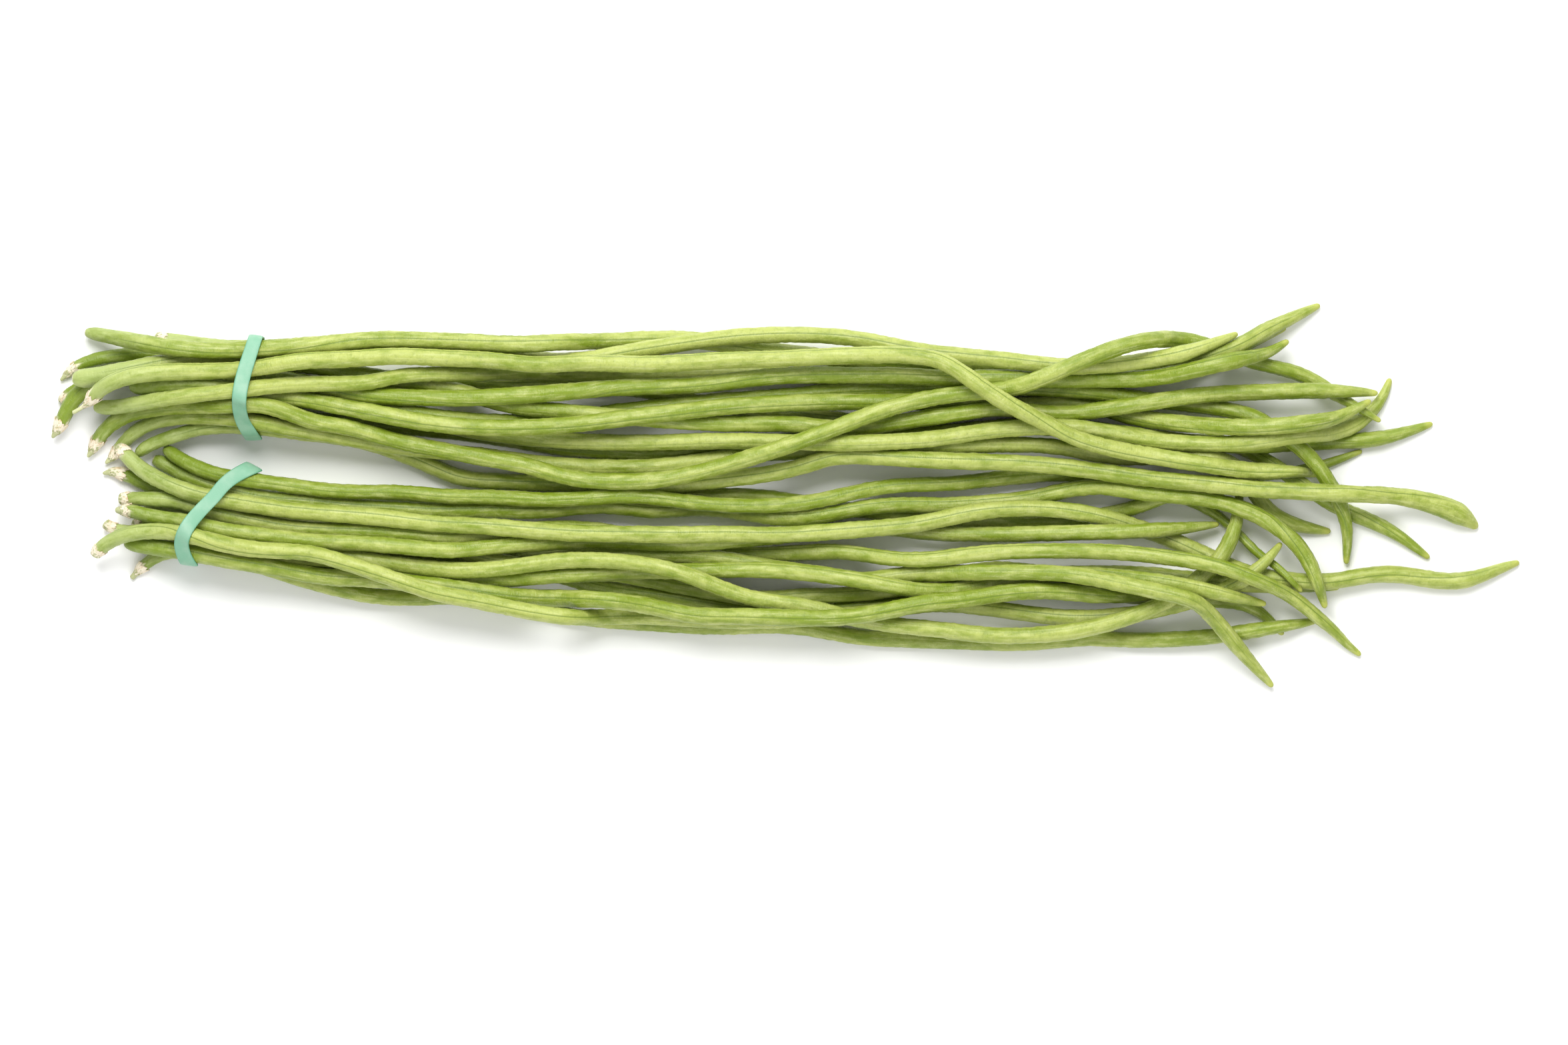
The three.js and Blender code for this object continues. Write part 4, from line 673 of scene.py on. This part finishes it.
class Finish:
    """A material's node tree, and the few ways in which this script adds nodes to it."""

    def __init__(self, name):
        self.material = bpy.data.materials.new(name)
        self.material.use_nodes = True
        self.tree = self.material.node_tree
        self.tree.nodes.clear()
        self.shader = self.node("ShaderNodeBsdfPrincipled")
        output = self.node("ShaderNodeOutputMaterial")
        self.tree.links.new(self.shader.outputs[0], output.inputs["Surface"])

    def node(self, kind, settings=None, values=None):
        """A new node: its own settings first, then the values or links of its sockets."""
        made = self.tree.nodes.new(kind)
        for key, value in (settings or {}).items():
            setattr(made, key, value)
        for key, value in (values or {}).items():
            self.feed(made.inputs[key], value)
        return made

    def feed(self, socket, value):
        """Gives a socket a link, or a value of its own."""
        if isinstance(value, Value):
            value = value.socket
        if isinstance(value, bpy.types.NodeSocket):
            self.tree.links.new(value, socket)
        elif socket.type == "RGBA":
            socket.default_value = (*value, 1)
        else:
            socket.default_value = value

    def value(self, socket):
        """A socket of this tree, ready for arithmetic."""
        return Value(self.tree, socket)

    def mark(self, name):
        """A float attribute of the mesh."""
        node = self.node("ShaderNodeAttribute", {"attribute_type": "GEOMETRY", "attribute_name": name})
        return self.value(node.outputs["Fac"])

    def lie(self, stretch):
        """The pod's own straightened coordinates in mm, each times its share in stretch."""
        node = self.node("ShaderNodeAttribute", {"attribute_type": "GEOMETRY", "attribute_name": "lie"})
        scaled = self.node("ShaderNodeVectorMath", {"operation": "MULTIPLY"})
        self.tree.links.new(node.outputs["Vector"], scaled.inputs[0])
        scaled.inputs[1].default_value = stretch
        return scaled.outputs[0]

    def noise(self, where, detail=2.0, rough=0.5):
        """Noise with one wave to a unit of where."""
        node = self.node(
            "ShaderNodeTexNoise",
            {"noise_dimensions": "3D"},
            {"Vector": where, "Scale": 1.0, "Detail": detail, "Roughness": rough},
        )
        return self.value(node.outputs["Fac"])

    def ease(self, value, low, high):
        """0 below low, 1 above high, and a smooth step between."""
        node = self.node(
            "ShaderNodeMapRange",
            {"interpolation_type": "SMOOTHSTEP"},
            {"Value": value, "From Min": low, "From Max": high},
        )
        return self.value(node.outputs[0])

    def mix(self, first, second, share):
        """A colour between two others."""
        node = self.node("ShaderNodeMix", {"data_type": "RGBA", "clamp_factor": True})
        self.feed(node.inputs[0], share)
        self.feed(node.inputs[6], first)
        self.feed(node.inputs[7], second)
        return node.outputs[2]

    def bump(self, height, distance, strength=1.0):
        """A Bump node that feeds the shader's normal."""
        values = {"Height": height, "Distance": distance, "Strength": strength}
        node = self.node("ShaderNodeBump", values=values)
        self.feed(self.shader.inputs["Normal"], node.outputs[0])

    def set(self, **values):
        """Feeds sockets of the shader, each by its name with _ for a space."""
        for key, value in values.items():
            self.feed(self.shader.inputs[key.replace("_", " ")], value)


def pod_finish(look):
    """Pod skin: light green over mid green in long soft patches, with a fine mottle and creases across it."""
    finish = Finish("Bean pod skin")
    broad = finish.noise(finish.lie((0.03, 0.25, 0.25)), 3)
    patch = finish.noise(finish.lie((0.16, 0.42, 0.42)), 4, 0.6)
    mottle = finish.noise(finish.lie((0.5, 0.5, 0.5)), 5, 0.65)
    streak = finish.noise(finish.lie((0.08, 1.3, 1.3)), 2)
    crease = finish.noise(finish.lie((1.5, 0.28, 0.28)), 3, 0.6)
    grain = finish.noise(finish.lie((3.2, 2.0, 2.0)), 2)
    tone, dry = finish.mark("tone"), finish.mark("dry")
    light = broad * 0.5 + patch * 0.38 + mottle * 0.12 + tone * 0.09 + finish.mark("swell") * 0.03
    deep = mottle * 0.75 + crease * 0.15 + grain * 0.1
    pale = streak * 0.5 + grain * 0.2 + patch * 0.3
    tip = finish.mark("tip") + grain * 0.3
    seam = finish.mark("seam") * finish.ease(patch + grain * 0.2, 0.2, 0.55)
    colour = finish.mix(look.mid_green, look.light_green, finish.ease(light, 0.38, 0.64))
    colour = finish.mix(colour, look.deep_green, finish.ease(deep, 0.46, 0.7) * 0.38)
    colour = finish.mix(colour, look.pale_green, finish.ease(pale, 0.48, 0.66) * 0.45)
    stem = finish.mix(look.stem_green, look.stem_pale, finish.ease(patch + tone * 0.25, 0.3, 0.75))
    colour = finish.mix(colour, stem, finish.mark("fresh") * 0.7)
    colour = finish.mix(colour, look.tip_colour, finish.ease(tip, 0.3, 1.1) * 0.8)
    colour = finish.mix(colour, look.seam_colour, seam.held() * 0.85)
    colour = finish.mix(colour, look.calyx_cream, dry * 0.85)
    finish.set(Base_Color=colour, Roughness=0.3 + grain * 0.2 + dry * 0.3, Specular_IOR_Level=0.42)
    finish.bump(mottle * 0.7 + crease * 0.4 + grain * 0.1, 0.0008, 0.6)
    return finish.material


def calyx_finish(look):
    """Dried calyx: cream with tan and a little green, papery."""
    finish = Finish("Dried calyx")
    patch = finish.noise(finish.lie((0.35, 0.6, 0.6)), 4, 0.65)
    fibre = finish.noise(finish.lie((0.45, 2.6, 2.6)), 3)
    blotch = finish.noise(finish.lie((0.8, 0.8, 0.8)), 3)
    rim = finish.mark("rim")
    colour = finish.mix(look.calyx_cream, look.calyx_tan, finish.ease(patch, 0.5, 0.72) * 0.8)
    colour = finish.mix(colour, look.stem_green, finish.ease(blotch - rim * 0.35, 0.3, 0.55) * 0.7)
    colour = finish.mix(colour, look.calyx_brown, finish.ease(fibre, 0.58, 0.74) * 0.4)
    colour = finish.mix(colour, look.calyx_brown, finish.ease(rim, 0.9, 1.0) * 0.2)
    finish.set(Base_Color=colour, Roughness=0.7 + fibre * 0.15)
    finish.bump(fibre, 0.0004, 0.8)
    return finish.material


def band_finish(look):
    """Rubber band: soft teal with a faint chalky bloom and a fine grain, and painted shade in a deeper teal
    at its rounded edges.
    """
    finish = Finish("Teal rubber")
    where = finish.node("ShaderNodeTexCoord").outputs["Object"]

    def stretched(amount):
        """The band's coordinates in metres, times an amount."""
        scaled = finish.node("ShaderNodeVectorMath", {"operation": "SCALE"}, {"Scale": amount})
        finish.tree.links.new(where, scaled.inputs[0])
        return scaled.outputs[0]

    bloom = finish.noise(stretched(160.0), 3)
    grain = finish.noise(stretched(1800.0), 2)
    colour = finish.mix(look.teal, look.teal_pale, finish.ease(bloom, 0.35, 0.8) * 0.7)
    # Painted shade: a deeper teal laid on the band's rounded edges
    colour = finish.mix(colour, look.teal_edge_shade, finish.mark("edge") * 0.85)
    finish.set(Base_Color=colour, Roughness=0.45 + grain * 0.2)
    finish.bump(grain, 0.0002, 0.3)
    return finish.material


def floor_finish(look):
    """Table: plain and nearly white."""
    finish = Finish("Table top")
    where = finish.node("ShaderNodeTexCoord").outputs["Object"]
    tooth = finish.noise(where, 4)
    finish.set(Base_Color=look.floor_colour, Roughness=0.8 + tooth * 0.1, Specular_IOR_Level=0.1)
    return finish.material


# ---------------------------------------------------------------- settings


def colour_property(name, description, colour):
    """A setting for a colour, given in the usual 0 to 255 steps."""
    return FloatVectorProperty(
        name=name, description=description, subtype="COLOR", size=3, min=0, max=1, default=linear(*colour)
    )


def length_property(name, description, metres):
    """A setting for a length."""
    return FloatProperty(name=name, description=description, default=metres, unit="LENGTH", precision=5)


def number_property(name, description, number):
    """A setting for a plain number."""
    return FloatProperty(name=name, description=description, default=number)


class BeanPodSettings(bpy.types.PropertyGroup):
    """Sizes and colours of the pods and their calyxes."""

    step: length_property("Step", "Distance between sections along a pod", 1.05 * MM)
    around: IntProperty(name="Around", description="Points round a section", default=28, min=12, max=64)
    seed_height: number_property("Seed height", "How far seeds swell a pod, as a share of its radius", 0.075)
    wrinkle_height: length_property("Wrinkles", "Height of the wrinkles across a pod", 0.045 * MM)
    seam_depth: length_property("Seam depth", "Depth of the groove at a seam", 0.1 * MM)
    tip_reach: length_property("Tip colour", "How far the tip's colour reaches", 6 * MM)
    calyx_thick: length_property("Calyx thickness", "Thickness of the dried calyx", 0.22 * MM)
    calyx_flare: length_property("Calyx flare", "How far the lobes stand off the pod", 0.2 * MM)
    lobe_reach: number_property("Calyx lobes", "How far the lobes run on, as a share of the calyx", 0.26)
    light_green: colour_property("Light green", "Light patches of the skin", (174, 184, 94))
    mid_green: colour_property("Mid green", "Main colour of the skin", (124, 144, 34))
    deep_green: colour_property("Deep green", "Creases of the skin", (84, 108, 10))
    pale_green: colour_property("Pale green", "Fine streaks along the skin", (197, 202, 136))
    stem_green: colour_property("Stem green", "Skin near the stem end", (118, 140, 38))
    stem_pale: colour_property("Pale stem green", "Lighter skin near the stem end", (164, 180, 110))
    seam_colour: colour_property("Seam", "Line along the seam", (88, 112, 24))
    tip_colour: colour_property("Tip", "Skin at the tip", (178, 184, 86))
    calyx_cream: colour_property("Calyx cream", "Main colour of the dried calyx", (240, 229, 205))
    calyx_tan: colour_property("Calyx tan", "Darker patches of the dried calyx", (214, 178, 128))
    calyx_brown: colour_property("Calyx brown", "Fibres of the dried calyx", (158, 112, 66))


class BeanBandSettings(bpy.types.PropertyGroup):
    """Size and colours of the rubber bands."""

    thickness: length_property("Thickness", "Thickness of the rubber", 0.9 * MM)
    teal: colour_property("Teal", "Main colour of the rubber", (122, 174, 144))
    teal_pale: colour_property("Pale teal", "Chalky bloom on the rubber", (152, 188, 163))
    # Painted shade: the deeper teal laid on the band's rounded edges
    teal_edge_shade: colour_property("Deep teal", "Edges of the rubber", (70, 146, 110))


class BeanStageSettings(bpy.types.PropertyGroup):
    """Table, light and camera."""

    floor_colour: colour_property("Table", "Colour of the table", (250, 250, 250))
    view_width: length_property("View width", "Width of the view at the table", 588 * MM)
    view_height: length_property("Camera height", "Height of the camera over the table", 6.0)
    view_x: length_property("View middle x", "Middle of the view", -0.59 * MM)
    view_y: length_property("View middle y", "Middle of the view", -10.18 * MM)
    far_power: number_property("Far light", "Power of the soft light at the far side", 47.0)
    near_power: number_property("Near light", "Power of the soft light at the near side", 14.0)
    rim_power: number_property("Rim light", "Power of the low light at the far side", 9.0)
    sky_strength: number_property("Fill", "Strength of the even light from all round", 0.57)


# ---------------------------------------------------------------- operators


class BEANS_OT_pods(bpy.types.Operator):
    """Make the pods of one handful, each along its solid's line."""

    bl_idname = "beans.pods"
    bl_label = "Pods"
    handful: EnumProperty(
        name="Handful",
        description="Which handful to make",
        items=[("upper", "Upper", ""), ("lower", "Lower", "")],
    )

    def execute(self, context):
        look = context.scene.bean_pods
        material = bpy.data.materials.get("Bean pod skin") or pod_finish(look)
        names = sorted(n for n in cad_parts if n.startswith(self.handful + "_pod"))
        for number, name in enumerate(names, LOWER_HANDFUL if self.handful == "lower" else 0):
            pod = pod_piece(name, number, look)
            pod.data.materials.append(material)
        return {"FINISHED"}


class BEANS_OT_calyxes(bpy.types.Operator):
    """Make the dried calyx on each stem end that has one."""

    bl_idname = "beans.calyxes"
    bl_label = "Calyxes"

    def execute(self, context):
        look = context.scene.bean_pods
        material = calyx_finish(look)
        for number, name in enumerate(sorted(HEADS)):
            cup = calyx_piece(name, number, look)
            cup.data.materials.append(material)
        return {"FINISHED"}


class BEANS_OT_bands(bpy.types.Operator):
    """Make the two rubber bands."""

    bl_idname = "beans.bands"
    bl_label = "Rubber bands"

    def execute(self, context):
        material = band_finish(context.scene.bean_bands)
        for number, name in enumerate(("upper_band", "lower_band")):
            band = band_piece(name, number, context.scene.bean_bands)
            band.data.materials.append(material)
        return {"FINISHED"}


class BEANS_OT_stage(bpy.types.Operator):
    """Make the table, the soft light and the camera."""

    bl_idname = "beans.stage"
    bl_label = "Stage"

    def execute(self, context):
        look = context.scene.bean_stage
        scene = context.scene
        corners = TABLE_HALF * np.array([(-1, -1, 0), (1, -1, 0), (1, 1, 0), (-1, 1, 0)])
        floor = put_mesh("table", corners, [[0, 1, 2, 3]], {})
        floor.data.materials.append(floor_finish(look))
        camera_data = bpy.data.cameras.new("camera")
        camera = bpy.data.objects.new("camera", camera_data)
        scene.collection.objects.link(camera)
        camera.location = (look.view_x, look.view_y, look.view_height)
        camera_data.sensor_width = SENSOR
        camera_data.lens = SENSOR * look.view_height / look.view_width
        camera_data.clip_start, camera_data.clip_end = 0.1, 100
        scene.camera = camera
        world = bpy.data.worlds.new("sky")
        world.use_nodes = True
        sky = world.node_tree.nodes["Background"].inputs
        sky["Color"].default_value = (1, 1, 1, 1)
        sky["Strength"].default_value = look.sky_strength
        scene.world = world
        for name, (place, size, power) in LIGHTS.items():
            light_data = bpy.data.lights.new(name, "AREA")
            light_data.shape = "DISK"
            light_data.size = size
            light_data.energy = getattr(look, power)
            light = bpy.data.objects.new(name, light_data)
            light.location = place
            light.rotation_euler = Vector(place).to_track_quat("Z", "Y").to_euler()
            light.visible_camera = False
            scene.collection.objects.link(light)
        scene.view_settings.view_transform = "Standard"
        return {"FINISHED"}


class BEANS_PT_panel(bpy.types.Panel):
    """Sidebar panel with the bunch's settings and its operators."""

    bl_label = "Yardlong bean bunch"
    bl_idname = "BEANS_PT_panel"
    bl_space_type = "VIEW_3D"
    bl_region_type = "UI"
    bl_category = "Beans"

    def draw(self, context):
        for title, group in (("Pods", "bean_pods"), ("Bands", "bean_bands"), ("Stage", "bean_stage")):
            box = self.layout.box()
            box.label(text=title)
            settings = getattr(context.scene, group)
            for key in settings.bl_rna.properties.keys():
                if key not in ("rna_type", "name"):
                    box.prop(settings, key)
        self.layout.operator("beans.pods", text="Upper pods").handful = "upper"
        self.layout.operator("beans.pods", text="Lower pods").handful = "lower"
        for name in ("beans.calyxes", "beans.bands", "beans.stage"):
            self.layout.operator(name)


GROUPS = {"bean_pods": BeanPodSettings, "bean_bands": BeanBandSettings, "bean_stage": BeanStageSettings}
CLASSES = (*GROUPS.values(), BEANS_OT_pods, BEANS_OT_calyxes, BEANS_OT_bands, BEANS_OT_stage, BEANS_PT_panel)


def register():
    """Adds the settings, the operators and the panel to Blender."""
    for cls in CLASSES:
        bpy.utils.register_class(cls)
    for key, group in GROUPS.items():
        setattr(bpy.types.Scene, key, PointerProperty(type=group))


def unregister():
    """Takes them away again."""
    for key in GROUPS:
        delattr(bpy.types.Scene, key)
    for cls in reversed(CLASSES):
        bpy.utils.unregister_class(cls)


def main():
    """Makes the stage and the whole bunch."""
    register()
    bpy.ops.beans.stage()
    bpy.ops.beans.pods(handful="upper")
    bpy.ops.beans.pods(handful="lower")
    bpy.ops.beans.calyxes()
    bpy.ops.beans.bands()


if __name__ == "__main__":
    main()
